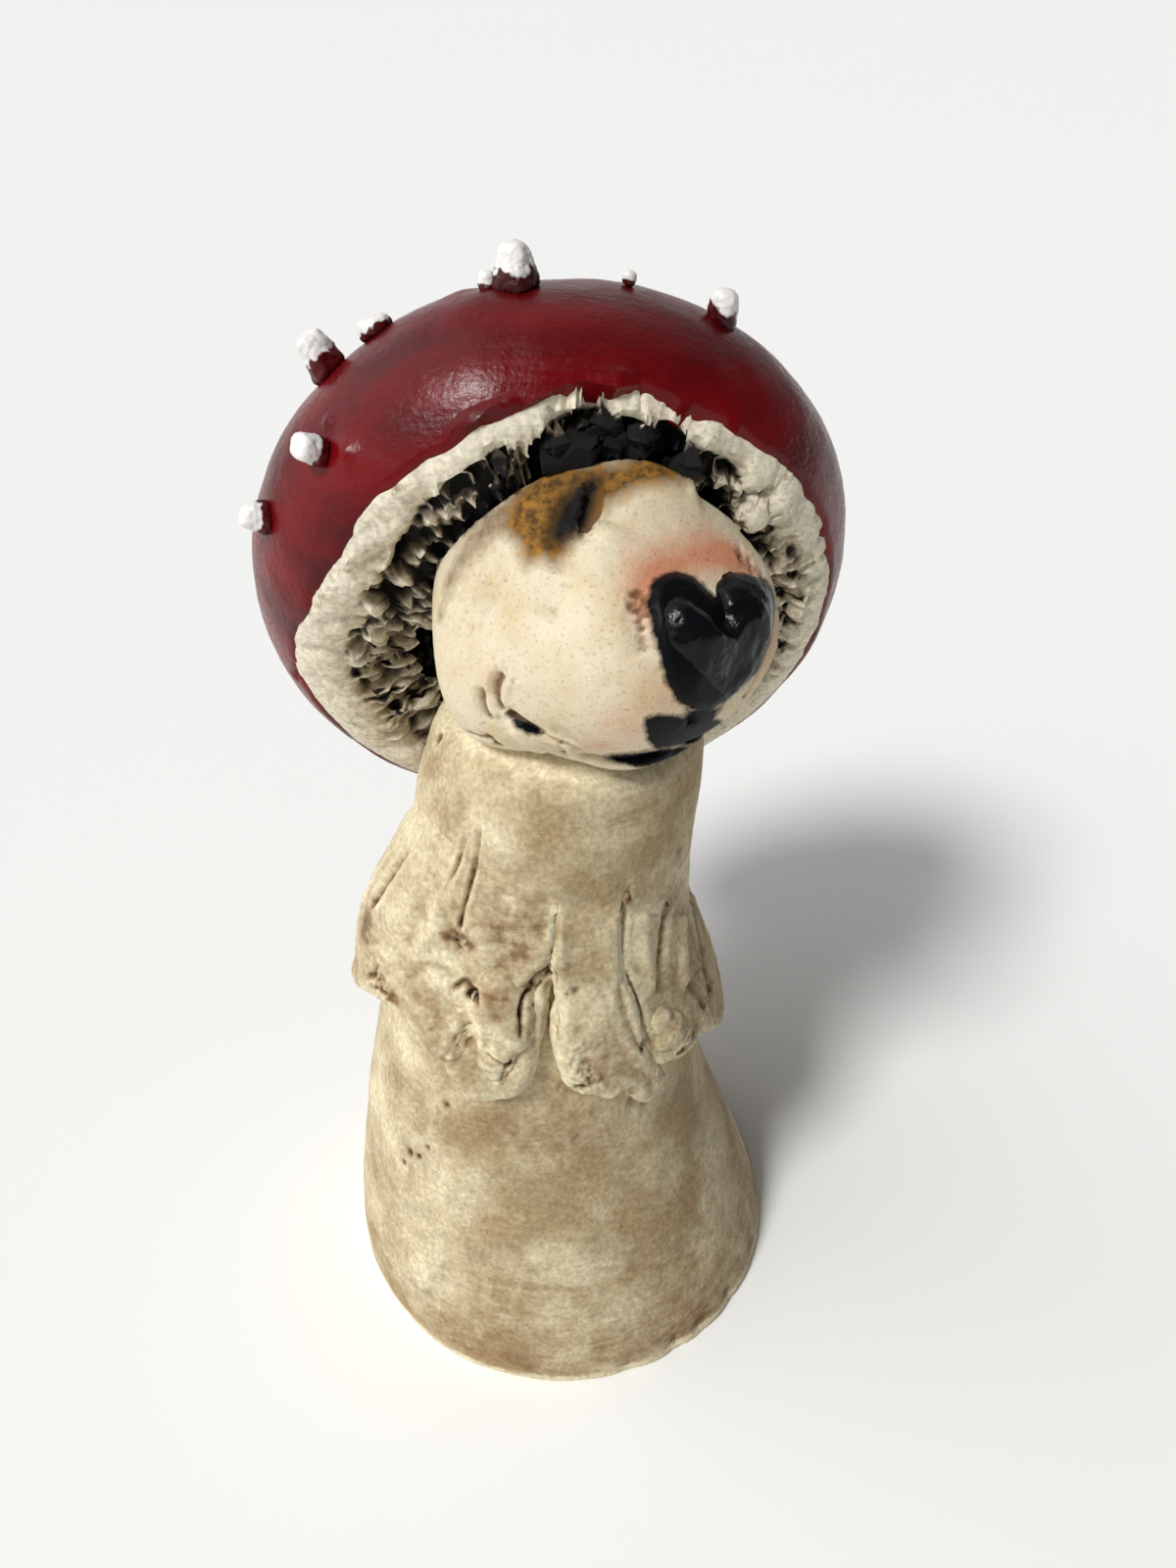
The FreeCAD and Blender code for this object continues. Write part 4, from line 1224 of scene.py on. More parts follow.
@dataclass
class Head:
    """The dog's head with its thin lower jaw and its nose. Sizes in millimetres."""

    middle: tuple[float, float, float] = (1.0, 0.0, 138.0)
    turn: float = 40.0
    voxel: float = 0.3
    eye_hollow: tuple[Dab, ...] = dabs((586, 516, 3.0, 1.5), (596, 500, 2.2, 0.8), (574, 530, 2.2, 0.5))
    shaping: tuple[Dab, ...] = dabs(
        (682, 505, 6.5, -2.0), (655, 492, 5.0, -1.0), (570, 560, 5.0, 0.9), (545, 600, 6.0, 0.8),
        (476, 600, 7.0, 0.9), (506, 550, 6.0, 0.8),
    )
    folds: tuple[Stroke, ...] = strokes(
        ((607, 490, 605, 505, 602, 520, 593, 537), 0.75, 1.1, 0.35),
        ((610, 536, 598, 549, 585, 563, 574, 584, 562, 606, 552, 632), 2.3, 1.0),
        ((616, 530, 604, 550, 592, 570, 580, 594), 2.2, -0.7),
        ((516, 727, 524, 733, 532, 738, 541, 743, 552, 749), 0.75, 1.6, 0, 2.0),
        ((545, 745, 560, 752, 578, 758, 596, 766, 614, 774, 640, 776, 670, 770, 700, 764, 726, 757), 0.6, 0.9, 0.3),
        ((513, 686, 507, 696, 505, 708, 508, 719, 515, 727), 0.7, 0.8, 0.3, 0.5),
        ((494, 702, 491, 714, 494, 726, 502, 736), 0.8, 0.55, 0.25, 0.45),
        ((520, 735, 530, 748, 545, 758, 560, 768), 1.2, -0.4), ((572, 756, 574, 766, 571, 778), 0.45, 0.5, 0, 0.5),
        ((655, 600, 651, 620, 652, 645, 660, 670), 1.6, 0.5, 0, 0.25),
        ((520, 742, 534, 754, 550, 766, 566, 776), 1.6, -0.5), ((575, 760, 610, 776, 650, 780, 690, 776), 1.2, -0.35),
        ((700, 720, 704, 728, 706, 740), 0.5, 0.6),
    )
    seam: tuple[Stroke, ...] = strokes(
        ((445, 725, 455, 734, 468, 743, 487, 751, 506, 758, 519, 769, 540, 781, 573, 787, 610, 789, 647, 789), 0.6,
        0.7, 0, 0.9),
    )
    # Pits and dark spots; the spots along the head's upper left edge and above the eye are the cap's shadow painted
    # on, together with brown paint.
    pits_and_dark_spots: tuple[Dab, ...] = dabs(
        (652, 604, 0.7, 0.5, 0, 0.5), (650, 622, 0.5, 0.4, 0, 0.5), (656, 640, 0.5, 0.4, 0, 0.5),
        (654, 655, 0.4, 0.3, 0, 0.6), (648, 612, 1.6, 0, 0.7, 0.15), (655, 632, 1.8, 0, 0.6, 0.1),
        (499, 752, 0.7, 0.6, 0, 1.6), (508, 760, 0.6, 0.5, 0, 1.4), (524, 700, 1.5, 0, 0.3, 0.2),
        (519, 770, 1.4, 0, 0.6), (666, 518, 0.4, 0.2, 0, 0.8), (568, 745, 3.0, 0, 0, 0.35),
        (600, 780, 4.5, 0, 0, 0.55), (492, 600, 4.0, 0, 0, 0.25), (454, 598, 2.0, 0, 0, 0.7),
        (464, 574, 2.2, 0, 0, 0.7), (480, 550, 2.6, 0, 0, 0.7), (502, 526, 3.2, 0, 0, 0.8),
        (447, 628, 1.6, 0, 0, 0.6), (545, 500, 4.0, 0, 0, 0.7), (562, 490, 3.0, 0, 0, 0.6),
        (702, 500, 3.0, 0, 0, 0.35), (714, 508, 2.2, 0, 0, 0.4), (478, 640, 6.0, 0, 0, 0.15),
    )
    blushes: tuple[Dab, ...] = dabs(
        (742, 566, 3.4, 0, 0, 0.75), (722, 566, 3.0, 0, 0, 0.5), (764, 580, 3.0, 0, 0, 0.6),
        (700, 572, 3.0, 0, 0, 0.3), (782, 690, 4.5, 0, 0, 0.8), (694, 704, 3.2, 0, 0, 0.45),
        (640, 742, 4.0, 0, 0, 0.4), (610, 762, 3.0, 0, 0, 0.4), (752, 728, 4.0, 0, 0, 0.8),
        (545, 765, 3.0, 0, 0, 0.3), (505, 690, 3.0, 0, 0, 0.3), (705, 535, 4.5, 0, 0, 0.2),
        (655, 690, 5.0, 0, 0, 0.15), (700, 786, 3.0, 0, 0, 0.9), (650, 787, 3.0, 0, 0, 0.6), mark=Mark.BLUSH,
    )
    golden: Line = (
        555, 470, 608, 468, 664, 470, 670, 484, 656, 500, 649, 504, 637, 511, 624, 517, 609, 531, 596, 545, 584, 562,
        569, 582, 560, 579, 552, 574, 543, 578, 535, 580, 530, 571, 527, 560, 516, 548, 508, 536, 520, 505,
    )
    eye_paint: Line = (
        563, 534, 573, 514, 588, 496, 604, 487, 613, 490, 609, 506, 604, 524, 597, 540, 584, 550, 570, 556, 561, 548,
    )
    lip_paint: Line = (
        657, 733, 672, 728, 698, 731, 708, 721, 737, 721, 730, 733, 747, 741, 738, 750, 723, 757, 698, 761, 670, 766,
        660, 756,
    )
    lower_lip_paint: Line = (
        616, 771, 647, 768, 685, 763, 728, 757, 732, 764, 723, 772, 705, 775, 685, 779, 650, 783, 628, 778,
    )
    slit_paint: Line = (515, 726, 524, 729, 533, 734, 545, 739, 556, 747, 549, 751, 538, 749, 526, 742)
    nose_paint: Line = (
        662, 602, 666, 592, 676, 586, 690, 583, 708, 588, 721, 601, 727, 608, 740, 607, 746, 595, 762, 590, 780, 591,
        788, 602, 791, 620, 785, 657, 774, 684, 755, 702, 738, 717, 723, 726, 705, 724, 690, 716, 679, 696, 669, 657,
        660, 620,
    )
    forms: dict[str, Form] = field(default_factory=dict)

    @property
    def side(self) -> np.ndarray:
        """Direction from the near cheek to the far one."""
        turn = math.radians(self.turn)
        return np.array([math.cos(turn), math.sin(turn), 0.0])

    def across(self, points: np.ndarray) -> np.ndarray:
        """How far points lie on the far side of the face's middle."""
        return (points - np.array(self.middle)) @ self.side

    def mirrored(self, points: np.ndarray) -> np.ndarray:
        """Points reflected to the other cheek."""
        return points - 2 * self.across(points)[:, None] * self.side[None]

    def shape(self) -> None:
        """Take the head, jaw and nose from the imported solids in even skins."""
        for node, rounds in (("head", 10), ("lower_jaw", 8), ("nose_pad", 5)):
            form = remeshed(node, [], self.voxel)
            form.points = form.relaxed(form.points, rounds)
            self.forms[node] = form

    def carve(self, canvas: Canvas) -> None:
        """Work the face into the clay, each fold on both cheeks."""
        found = canvas.find(self.shaping)
        for mark, path in canvas.find((*self.folds, *self.seam, *self.eye_hollow, *self.pits_and_dark_spots, *self.blushes)):
            found += [(mark, path), (mark, self.mirrored(path)[::-1])]
        for node, form in self.forms.items():
            work(form, found)
            if node == "nose_pad":
                form.push(0.30 * GRAIN.fractal(form.points, 3.2, 2) + 0.05 * GRAIN.fractal(form.points, 0.9, 2))
            else:
                form.push(0.20 * GRAIN.smooth(form.points, 9.0) + 0.05 * GRAIN.fractal(form.points, 1.8, 2))
            self.paint(form)
            form.add_hollows(5, 30)

    def paint(self, form: Form) -> None:
        """Mark the painted areas, on both cheeks."""
        near = self.across(form.points) < 0
        views = [CAMERA.project(points) for points in (form.points, self.mirrored(form.points))]
        lips = (self.lip_paint, self.lower_lip_paint, self.slit_paint)
        for mark, outlines in ((Mark.GOLDEN, (self.golden,)), (Mark.DARK, (self.eye_paint,)), (Mark.BLACK, lips)):
            here, there = (
                np.max([outline_distance(pixels, outline) for outline in outlines], axis=0) * span
                for pixels, span in views
            )
            form.marks[mark] = np.where(near, here, there)
        seen = dots(form.normals(), CAMERA.place - form.points) > 0
        nose = outline_distance(views[0][0], self.nose_paint) * views[0][1]
        form.marks[Mark.BLACK] = np.where(seen, np.maximum(nose, here), form.marks[Mark.BLACK])
        form.push(0.9 * smoothstep(-0.3, 1.4, nose) * seen * (form is self.forms["head"]))
        up = form.points[:, 2] - self.middle[2]
        form.marks[Mark.PALE] = smoothstep(6.4, 9.4, up + 0.9 * GRAIN.smooth(form.points, 2.0)) * 0.5

    def dress(self) -> None:
        """Stand the pieces in their finishes."""
        skin = HEAD_PAINT.material()
        self.forms["head"].stand("head", Slot.HEAD, skin)
        self.forms["lower_jaw"].stand("lower_jaw", Slot.HEAD, skin)
        self.forms["nose_pad"].stand("nose_pad", Slot.BLACK, BLACK_ENAMEL.material())


@dataclass
class Cap:
    """Tipped-back bonnet: a red shell over a lining of torn clay. Sizes in millimetres."""

    middle: tuple[float, float, float] = (-0.8, 18.6, 128.3)
    half_width: float = 44.5
    half_height: float = 47.3
    half_depth: float = 28.4
    shell: float = 3.2
    lining: float = 6.4
    tilt: float = 24.0
    rim_tilt: float = 21.0
    turn: float = -8.0
    setback: float = 13.0
    lip: float = 2.6
    gill_spacing: float = 2.3
    dish: float = 3.2
    pitch: float = 0.36
    rim_turns: tuple[float, ...] = (
        -180, -165, -152, -146, -140, -132, -110, -90, -60, -30, 0, 30, 50, 70, 80, 88, 95, 104, 112, 125, 140, 150,
        160, 172,
    )
    rim_heights: tuple[float, ...] = (
        0.2, 0.3, 0.8, -1.0, 0.6, 0.2, 0.0, 0.0, 0.2, 0.0, 0.2, -0.3, 0.3, -0.4, -1.3, -1.5, -0.6, 1.0, 2.0, 2.5, 3.0,
        3.0, 2.6, 1.0,
    )
    ridges: tuple[Stroke, ...] = strokes(
        ((455, 443, 490, 428, 530, 417, 570, 404, 620, 395), 0.7, -0.55),
        ((470, 430, 500, 418, 540, 404, 575, 396, 600, 391), 0.5, -0.4), ((600, 398, 625, 393, 650, 399), 1.3, -0.6),
        ((296, 700, 302, 688, 306, 678), 0.8, 0.7), ((460, 447, 500, 430, 545, 414, 590, 402), 0.5, 0.5, 0.2),
    )
    bumps: tuple[Dab, ...] = dabs(
        (352, 462, 1.6, -0.7), (334, 430, 1.0, -0.5), (630, 390, 1.6, -0.5, 0.3), (695, 420, 1.3, -0.4, 0.3),
        (748, 437, 1.2, -0.4, 0.3), (500, 300, 4.0, -0.4), (470, 300, 2.0, -0.3),
    )
    # Hollows dug into the lining and painted nearly black as the shade inside them.
    caves: tuple[Dab, ...] = dabs(
        (452, 490, 2.4, 2.6, 0, 1.6), (482, 486, 2.0, 2.0, 0, 1.2), (508, 462, 2.0, 2.4, 0, 1.4),
        (438, 512, 2.0, 2.2, 0, 1.4), (510, 500, 1.8, 1.8, 0, 1.2), (380, 565, 1.3, 1.6, 0, 1.4),
        (430, 553, 1.4, 1.2, 0, 1.2), (486, 523, 1.6, 1.4, 0, 1.0), (642, 458, 5.5, 3.0, 0, 1.8),
        (604, 462, 4.5, 2.6, 0, 1.4), (676, 462, 4.0, 2.4, 0, 1.4), (562, 468, 2.6, 1.4, 0, 1.0),
        (725, 480, 2.2, 2.4, 0, 1.8), (735, 515, 2.2, 2.4, 0, 1.8), (757, 478, 1.6, 1.8, 0, 1.4),
        (740, 465, 1.8, 1.6, 0, 1.4), (770, 560, 1.5, 1.6, 0, 1.4), (820, 570, 1.2, 1.4, 0, 1.3),
        (790, 545, 1.2, 1.2, 0, 1.0), (838, 600, 1.0, 1.0, 0, 1.2), (779, 547, 1.2, 1.4, 0, 1.5),
        (825, 597, 0.9, 1.2, 0, 1.4), (812, 562, 1.0, 1.2, 0, 1.5), (703, 479, 1.6, 1.6, 0, 1.5),
    )
    knobs: tuple[Dab, ...] = dabs(
        (785, 500, 2.6, -1.5, 0.8), (765, 505, 2.0, -1.2, 0.7), (800, 520, 2.2, -1.2, 0.7),
        (740, 497, 1.8, -1.4, 0.6), (812, 545, 2.0, -1.0, 0.6), (770, 530, 2.2, -1.0, 0.6),
        (790, 470, 2.4, -0.8, 0.8), (690, 433, 2.0, -0.8, 0.8),
    ) + dabs((795, 510, 6.0, 0, 0, 0.9), (720, 435, 4.0, 0, 0, 0.6), (760, 450, 4.0, 0, 0, 0.7), mark=Mark.PALE)
    cracks: tuple[Stroke, ...] = strokes(
        ((786, 600, 805, 608, 828, 612), 0.35, 1.2, 0, 1.4), ((787, 625, 803, 634, 822, 640), 0.35, 1.2, 0, 1.4),
        ((785, 650, 798, 657, 812, 662), 0.3, 0.9, 0, 1.2), ((790, 580, 815, 586, 838, 588), 0.3, 0.9, 0, 1.2),
        ((330, 700, 360, 690, 395, 674, 430, 655), 0.7, 1.6, 0, 0.8),
        ((345, 655, 375, 645, 410, 628, 445, 612), 0.7, 1.4, 0, 0.8),
        ((352, 725, 385, 712, 415, 700, 440, 690), 0.6, 1.4, 0, 0.8),
        ((360, 745, 390, 738, 425, 728), 0.6, 1.2, 0, 0.8),
    )
    lip_folds: tuple[Stroke, ...] = strokes(
        ((318, 612, 326, 594, 342, 570, 373, 542, 405, 521), 0.8, 0.5, 0.2, 0.3),
        ((336, 610, 350, 590, 372, 574, 400, 560), 1.1, 0.6, 0, 0.3),
        ((322, 640, 340, 634, 356, 630), 0.8, 0.5, 0, 0.4), ((306, 668, 326, 664, 350, 668), 0.9, 0.7, 0, 0.5),
        ((405, 528, 418, 518, 432, 500, 440, 484), 1.0, 0.6, 0, 0.3),
        ((318, 690, 330, 706, 350, 716), 1.2, 0.8, 0, 0.5), ((330, 625, 345, 605, 365, 590), 1.6, -0.6),
    )
    forms: dict[str, Form] = field(default_factory=dict)

    def axes(self, tilt: float) -> tuple[np.ndarray, np.ndarray, np.ndarray]:
        """Right, up and back directions of the cap at a tilt."""
        t, n = math.radians(tilt), math.radians(self.turn)
        back = np.array([math.cos(t) * math.sin(n), math.cos(t) * math.cos(n), math.sin(t)])
        right = np.array([math.cos(n), -math.sin(n), 0.0])
        return right, -np.cross(back, right), back

    def rim_lift(self, turn: np.ndarray) -> np.ndarray:
        """How far the rim stands forward of its plane at turns in radians."""
        degrees = np.mod(np.degrees(turn) + 180, 360) - 180
        places = np.array([*self.rim_turns, 180.0])
        values = np.array([*self.rim_heights, self.rim_heights[0]])
        circle = np.stack([np.cos(turn) * 30, np.sin(turn) * 30, np.zeros_like(turn)], axis=-1)
        return through(places, values, degrees) + 0.35 * GRAIN.fractal(circle, 5.0, 2)

    def point(self, turn: np.ndarray, latitude: np.ndarray, inset: float) -> np.ndarray:
        """Points on the bonnet drawn in by an inset.

        Args:
            turn: Angle round the back axis from the right, in radians.
            latitude: Angle from the middle plane towards the back, in radians.
            inset: How far in from the outside, in millimetres.

        Returns:
            The points.
        """
        right, up, back = self.axes(self.tilt)
        wide = (np.cos(latitude) * np.cos(turn) * (self.half_width - inset))[..., None] * right
        tall = (np.cos(latitude) * np.sin(turn) * (self.half_height - inset))[..., None] * up
        deep = (np.sin(latitude) * (self.half_depth - inset))[..., None] * back
        return np.array(self.middle) + wide + tall + deep

    def latitude_at(self, turn: np.ndarray, inset: float, forward: np.ndarray) -> np.ndarray:
        """Latitude where the bonnet meets a plane across its opening.

        Args:
            turn: Angles round the back axis.
            inset: How far in from the outside.
            forward: How far the plane stands in front of the middle.

        Returns:
            The latitudes, in radians.
        """
        right, up, back = self.axes(self.tilt)
        across = self.axes(self.rim_tilt)[2]
        flat = np.cos(turn) * (self.half_width - inset) * (right @ across)
        flat = flat + np.sin(turn) * (self.half_height - inset) * (up @ across)
        deep = (self.half_depth - inset) * (back @ across)
        return np.arctan2(deep, flat) - np.arccos(np.clip(-forward / np.hypot(flat, deep), -1, 1))

    def section(
        self, steps: list[tuple[float, float]], pole_inset: float, turn: np.ndarray, back_count: int
    ) -> np.ndarray:
        """Rows from the rim's steps to the pole, for one skin.

        Args:
            steps: Inset, and how far forward, of each step at the rim.
            pole_inset: Inset of the skin behind the rim.
            turn: Angles round the back axis.
            back_count: How many rows run from the rim to the pole.

        Returns:
            Points by row and angle.
        """
        lift = self.rim_lift(turn)
        rows = []
        for inset, forward in steps:
            share = 1 - 0.5 * min(max((forward - self.setback) / self.lip, 0.0), 1.0)
            rows.append(self.point(turn, self.latitude_at(turn, inset, forward + lift * share), inset))
        start = self.latitude_at(turn, pole_inset, steps[-1][1] + lift * share)
        for share in np.linspace(0, 0.985, back_count)[1:]:
            rows.append(self.point(turn, start + (math.pi / 2 - start) * share, pole_inset))
        return np.array(rows)

    def shape(self) -> None:
        """Model the shell, the lining and the post."""
        turn = np.linspace(-math.pi / 2, 1.5 * math.pi, int(math.tau * self.half_width / self.pitch), False)
        shell, rim, lip, end = self.shell, self.setback, self.setback + self.lip, self.shell + self.lining
        outer = self.section([(0.25, rim - 0.05), (0.0, rim - 0.6)], 0.0, turn, int(60 / self.pitch))
        inner = self.section([(shell, rim - 0.3)], shell, turn, 30)
        self.forms["cap_shell"] = tube_form(np.concatenate([inner[::-1], outer]))
        steps = [
            (shell, rim - 8.0), (shell - 0.2, rim - 2.4), (0.9, rim - 1.8), (0.45, rim - 0.6), (0.4, rim + 0.4),
            (0.7, lip - 0.9), (1.2, lip - 0.3), (1.9, lip),
        ]
        insets = np.linspace(2.5, end - 1.2, 16)
        steps += [(float(inset), lip - 0.25 * index / 16) for index, inset in enumerate(insets)]
        steps += [(end - 0.7, lip - 0.6), (end - 0.25, lip - 1.2), (end, lip - 2.0)]
        cavity = self.section(steps, end, turn, int(52 / self.pitch))
        hidden = self.section([(shell + 0.1, rim - 8.5)], shell + 0.1, turn, 12)
        self.forms["cap_lining"] = tube_form(np.concatenate([cavity[::-1], hidden]))
        form = remeshed("cap_post", [], 0.6)
        form.points = form.relaxed(form.points, 3)
        self.forms["cap_post"] = form

    def tear(self, form: Form) -> np.ndarray:
        """Tear the lining into nodules and ragged gills, and give how torn each point is."""
        right, up, _ = self.axes(self.tilt)
        across = self.axes(self.rim_tilt)[2]
        offset = form.points - np.array(self.middle)
        behind = offset @ across + self.setback + self.lip
        turn = np.arctan2(offset @ up, offset @ right)
        flat = offset - (offset @ across)[:, None] * across
        radius = norms(flat)
        rim_at = self.latitude_at(turn, 0.8, self.setback + self.lip + 0.5 * self.rim_lift(turn))
        rim = self.point(turn, rim_at, 0.8) - np.array(self.middle)
        edge = norms(rim - (rim @ across)[:, None] * across)
        along = np.maximum(behind, 0) + edge - radius
        normals = form.normals()
        facing = np.maximum(-(normals @ across), -dots(normals, flat) / np.maximum(radius, 1e-6))
        facing = smoothstep(0.25, 0.6, facing)
        warp = GRAIN.fractal(form.points, 9.0, 2)
        around = np.mod(turn + math.pi / 2, math.tau) * 30.0
        lower = smoothstep(0.35, -0.15, np.sin(turn) + 0.1 * warp)
        start = 2.8 - 3.4 * smoothstep(0.1, 0.6, np.cos(turn - 0.87))
        start = start - 0.55 * smoothstep(0.35, 0.8, np.cos(turn - 0.3))
        band = smoothstep(start, start + 3.2, along + 1.3 * GRAIN.smooth(form.points, 7.0))
        dish = self.dish * smoothstep(edge - 4.0, edge - 17.0, radius) * smoothstep(15, 7, behind)
        form.points = form.points + across * dish[:, None]
        chunky = smoothstep(0.3, 0.8, np.cos(turn - 0.6))
        spacing = self.gill_spacing * (1 + 0.6 * chunky)
        down = along / (spacing * (1.2 + 0.9 * lower))
        plane = np.stack([around / spacing + 0.45 * warp, down + 0.45 * warp, 0.25 * warp], axis=-1)
        nearest, second = GRAIN.cells(plane, 1.0)
        nodules = (0.55 - nearest) * 2.0 + np.minimum(second - nearest, 0.35) * 1.6 - 0.5
        crumb_near, crumb_next = GRAIN.cells(form.points + 31.0, 2.1)
        seams = smoothstep(0.14, 0.0, crumb_next - crumb_near)
        crumbs = chunky * band * (0.9 * (0.45 - crumb_near) - 0.5 * seams)
        rough = 0.6 * (0.5 - GRAIN.cells(form.points, 1.15)[0]) + 0.30 * GRAIN.fractal(form.points, 1.1, 2)
        furrow = np.cos(around / (self.gill_spacing * 1.1) * math.tau / 2 + 1.8 * warp)
        furrow = -lower * 1.2 * smoothstep(0.1, 0.9, furrow)
        deep = smoothstep(0.12, 0.5, GRAIN.fractal(form.points + 55.0, 4.8, 2))
        holes = -2.6 * deep * (1 - 0.6 * lower) * smoothstep(17.0, 25.0, radius)
        torn = band * ((1.25 + 0.35 * chunky) * nodules + furrow + holes) + crumbs + (0.2 + 0.8 * band) * rough
        skin = 0.10 * GRAIN.fractal(form.points, 2.2, 2) * smoothstep(0.5, 2.0, along)
        form.push(facing * torn + skin)
        left = smoothstep(0.1, -0.5, np.cos(turn))
        upper = smoothstep(0.25, 0.8, np.sin(turn))
        # Painted shade over the lining's brown wash: darker deeper inside the cap, most under its top, and in holes;
        # darker on the left as well.
        wash_and_shade = 0.34 + 0.25 * left + 0.55 * smoothstep(7, 16, along) + 1.4 * upper * smoothstep(4, 9, along)
        stain = facing * band * (wash_and_shade + 0.5 * deep * (1 - lower))
        # Painted shade on the lower right of the lining.
        stain += 0.75 * smoothstep(0.2, 0.9, np.cos(turn)) * smoothstep(0.2, -0.35, np.sin(turn))
        # Painted shade in the seams between crumbs.
        stain += facing * band * chunky * 0.8 * smoothstep(0.12, 0.0, crumb_next - crumb_near)
        form.marks[Mark.STAIN_AND_SHADE] = form.mark(Mark.STAIN_AND_SHADE) + stain
        form.marks[Mark.PALE] = 0.9 * (1 - band) * facing * (1 - 0.7 * left)
        return band

    def carve(self, canvas: Canvas) -> None:
        """Work the gills, caves, ridges and cracks into the cap."""
        lining, shell, post = (self.forms[node] for node in ("cap_lining", "cap_shell", "cap_post"))
        torn = self.tear(lining)
        whole = lining.points.copy()
        work(lining, canvas.find((*self.caves, *self.knobs, *self.cracks)))
        lining.points = whole + (lining.points - whole) * torn[:, None]
        work(lining, canvas.find(self.lip_folds))
        lining.marks[Mark.STAIN_AND_SHADE] *= 0.15 + 0.85 * torn
        work(shell, canvas.find((*self.ridges, *self.bumps)))
        broad, middling = GRAIN.smooth(shell.points, 15.0), GRAIN.smooth(shell.points, 4.5)
        shell.push(0.30 * broad + 0.10 * middling + 0.025 * GRAIN.fractal(shell.points, 1.6, 2))
        post.push(0.5 * GRAIN.fractal(post.points, 3.0, 3))
        post.marks[Mark.STAIN_AND_SHADE] = np.full(len(post.points), 0.9)
        for form, rounds in ((lining, 40), (shell, 20), (post, 20)):
            form.add_hollows(6, rounds)

    def dress(self) -> None:
        """Stand the pieces in their finishes."""
        clay = CARVED_CLAY.material()
        self.forms["cap_shell"].stand("cap_shell", Slot.RED, RED_ENAMEL.material())
        self.forms["cap_lining"].stand("cap_lining", Slot.CREAM, clay)
        self.forms["cap_post"].stand("cap_post", Slot.CREAM, clay)


@dataclass
class Warts:
    """Pegs of clay on the cap, their tips dabbed white."""

    voxel: float = 0.18
    names: tuple[str, ...] = (
        "wart_crown", "wart_crown_ridge", "wart_right", "wart_top_small", "wart_upper_left_peg",
        "wart_upper_left_patch", "wart_front_left", "wart_left_thorn", "wart_back_high", "wart_back_left",
        "wart_back_right", "wart_back_low", "wart_back_middle",
    )
    forms: dict[str, Form] = field(default_factory=dict)

    def shape(self, cap: Cap) -> None:
        """Take each peg from its solid, pinched and ragged."""
        axes = np.stack(cap.axes(cap.tilt), axis=-1)
        halves = np.array([cap.half_width, cap.half_height, cap.half_depth])
        for name in self.names:
            form = remeshed(name, [], self.voxel)
            form.points = form.relaxed(form.points, 45)
            form.push(0.35 + 0.22 * GRAIN.fractal(form.points, 1.4, 3))
            height = (norms((form.points - np.array(cap.middle)) @ axes / halves) - 1) * 40
            tall = max(float(np.percentile(height, 98)), 0.5)
            form.marks[Mark.TIP] = smoothstep(0.30, 0.55, height / tall + 0.16 * GRAIN.fractal(form.points, 1.3, 2))
            form.add_hollows(3, 10)
            self.forms[name] = form

    def dress(self) -> None:
        """Stand the pegs in their finish."""
        finish = WART_ENAMEL.material()
        for node, form in self.forms.items():
            form.stand(node, Slot.WART, finish)


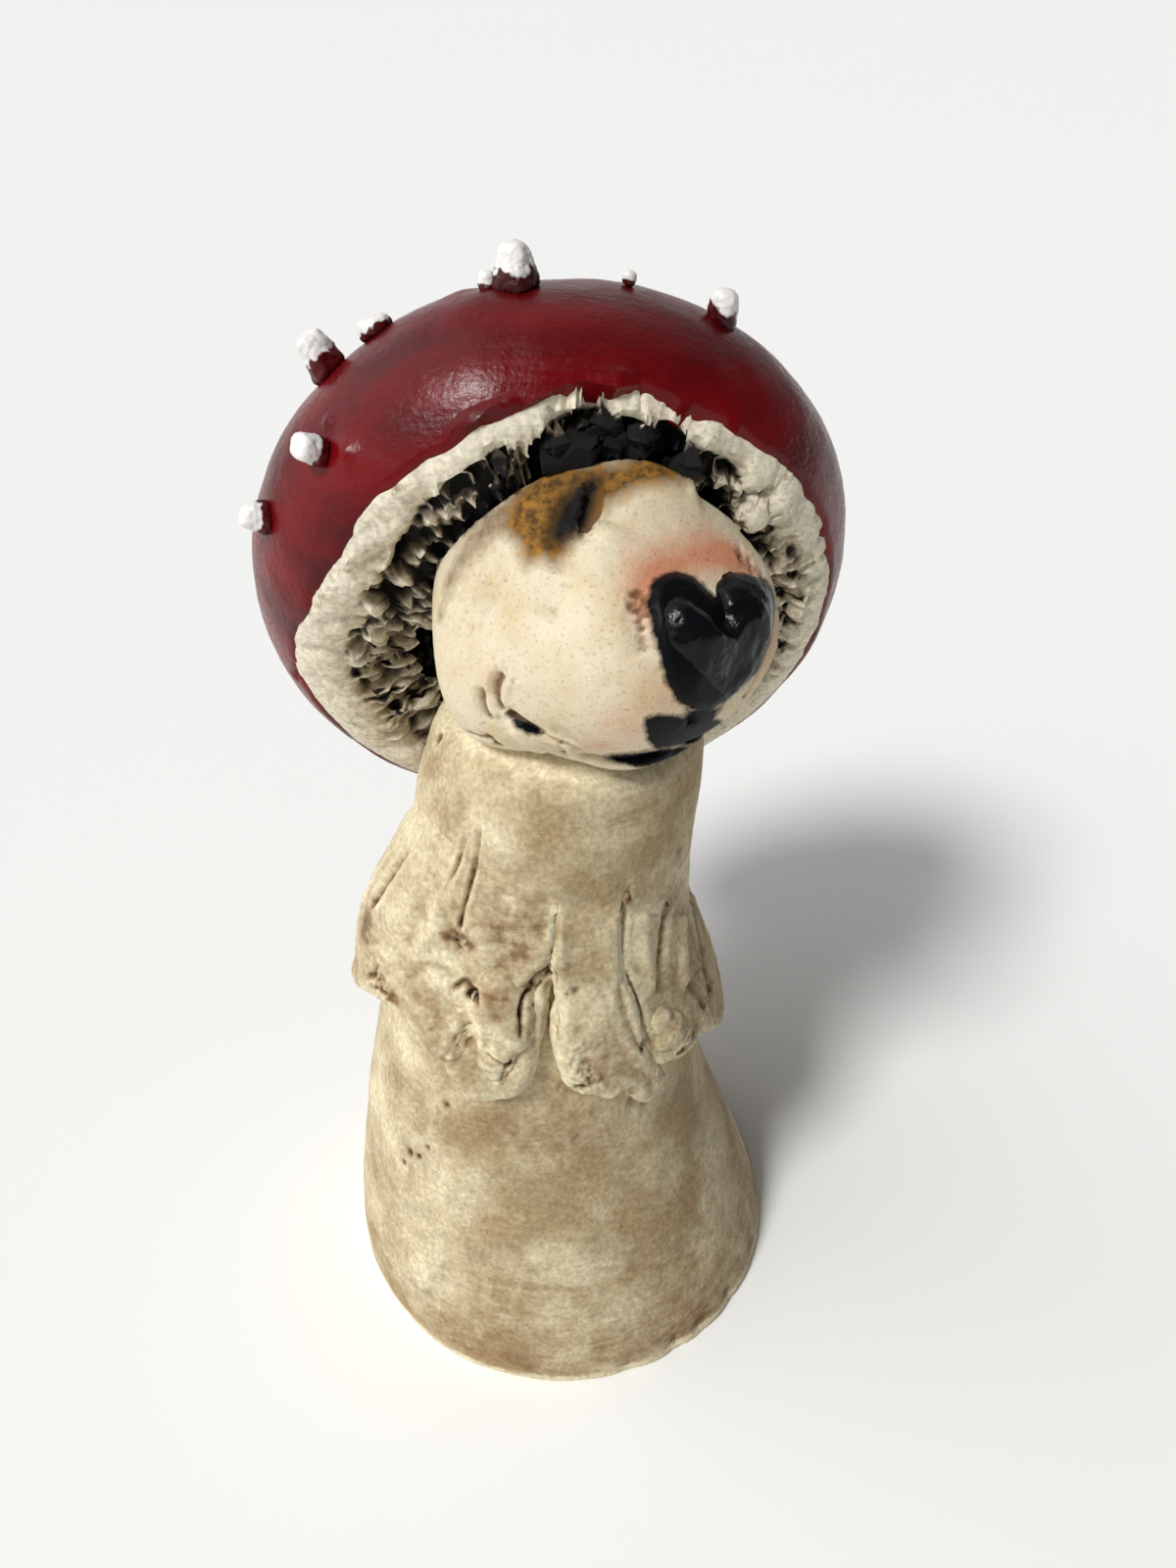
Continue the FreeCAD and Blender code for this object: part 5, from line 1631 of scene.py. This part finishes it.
@dataclass
class Studio:
    """Pale floor, one large soft window and a plain white room. Sizes in millimetres."""

    floor_size: float = 40000.0
    floor_colour: str = "#fbfbf9"
    key_direction: tuple[float, float, float] = (-86.0, -97.0, 148.0)
    key_strength: float = 2.3
    key_angle: float = 14.0
    fill_direction: tuple[float, float, float] = (-95.0, -25.0, 75.0)
    fill_strength: float = 1.15
    fill_angle: float = 80.0
    room_colour: str = "#ffffff"
    room_strength: float = 0.11
    mirrored_strength: float = 0.8
    bright_side: tuple[float, float, float] = (-0.62, 0.30, 0.72)
    mirrored_side: tuple[float, float, float] = (-0.35, 0.82, 0.45)
    seen_strength: float = 0.97

    def lamp(self, name: str, direction: tuple[float, float, float], strength: float, angle: float) -> None:
        """Hang a far lamp of a given apparent width in degrees."""
        light = bpy.data.lights.new(name, "SUN")
        light.energy = strength
        light.angle = math.radians(angle)
        lamp = bpy.data.objects.new(name, light)
        across = math.hypot(direction[0], direction[1])
        lamp.rotation_euler = (0, math.atan2(across, direction[2]), math.atan2(direction[1], direction[0]))
        bpy.context.scene.collection.objects.link(lamp)

    def build(self) -> None:
        """Make the floor, the lamps and the world."""
        half = self.floor_size / 2 * MM
        mesh = bpy.data.meshes.new("floor")
        corners = [(-half, -half, 0), (half, -half, 0), (half, half, 0), (-half, half, 0)]
        mesh.from_pydata(corners, [], [(0, 1, 2, 3)])
        floor = bpy.data.objects.new("floor", mesh)
        bpy.context.scene.collection.objects.link(floor)
        paper = Nodes(bpy.data.materials.new("matt_white_card"))
        card = {"Base Color": linear(self.floor_colour), "Roughness": 0.9, "Specular IOR Level": 0.2}
        paper.add("OutputMaterial", {"Surface": paper.add("BsdfPrincipled", card)})
        mesh.materials.append(paper.owner)
        self.lamp("window", self.key_direction, self.key_strength, self.key_angle)
        self.lamp("soft_wall", self.fill_direction, self.fill_strength, self.fill_angle)
        world = bpy.data.worlds.new("white_room")
        bpy.context.scene.world = world
        room = Nodes(world)
        soft, mirrored = (
            room.ramp(
                room.add("VectorMath", {0: room.add("TexCoord", {}), 1: side}, 1, operation="DOT_PRODUCT"), *ends)
            for side, ends in (
                (self.bright_side, (-0.4, 0.9, self.room_strength * 0.2, self.room_strength * 2.0)),
                (self.mirrored_side, (0.1, 0.95, self.mirrored_strength * 0.12, self.mirrored_strength)),
            )
        )
        light = room.add("Mix", {0: room.add("LightPath", {}, 3), 2: soft, 3: mirrored}, data_type="FLOAT")
        light = room.add("Mix", {0: room.add("LightPath", {}), 2: light, 3: self.seen_strength}, data_type="FLOAT")
        background = room.add("Background", {"Color": linear(self.room_colour), "Strength": light})
        room.add("OutputWorld", {"Surface": background})
        bpy.context.scene.view_settings.view_transform = "Standard"


def main() -> None:
    """Build the ornament piece by piece and set it in the studio."""
    logging.basicConfig(level=logging.INFO, format="%(name)s: %(message)s")
    stem = Stem()
    skirt = Skirt(Curtain(stem))
    head, cap, warts = Head(), Cap(), Warts()
    for part in (stem, skirt, head, cap):
        part.shape()
    warts.shape(cap)
    stem.carve(Canvas(list(stem.forms.values())))
    body = stem.forms["stem_body"]
    skirt.carve(Canvas([*skirt.forms.values(), body]), body)
    for part in (head, cap):
        part.carve(Canvas(list(part.forms.values())))
    for part in (stem, skirt, head, cap, warts):
        part.dress()
    Studio().build()
    CAMERA.stand()


if __name__ == "__main__":
    main()
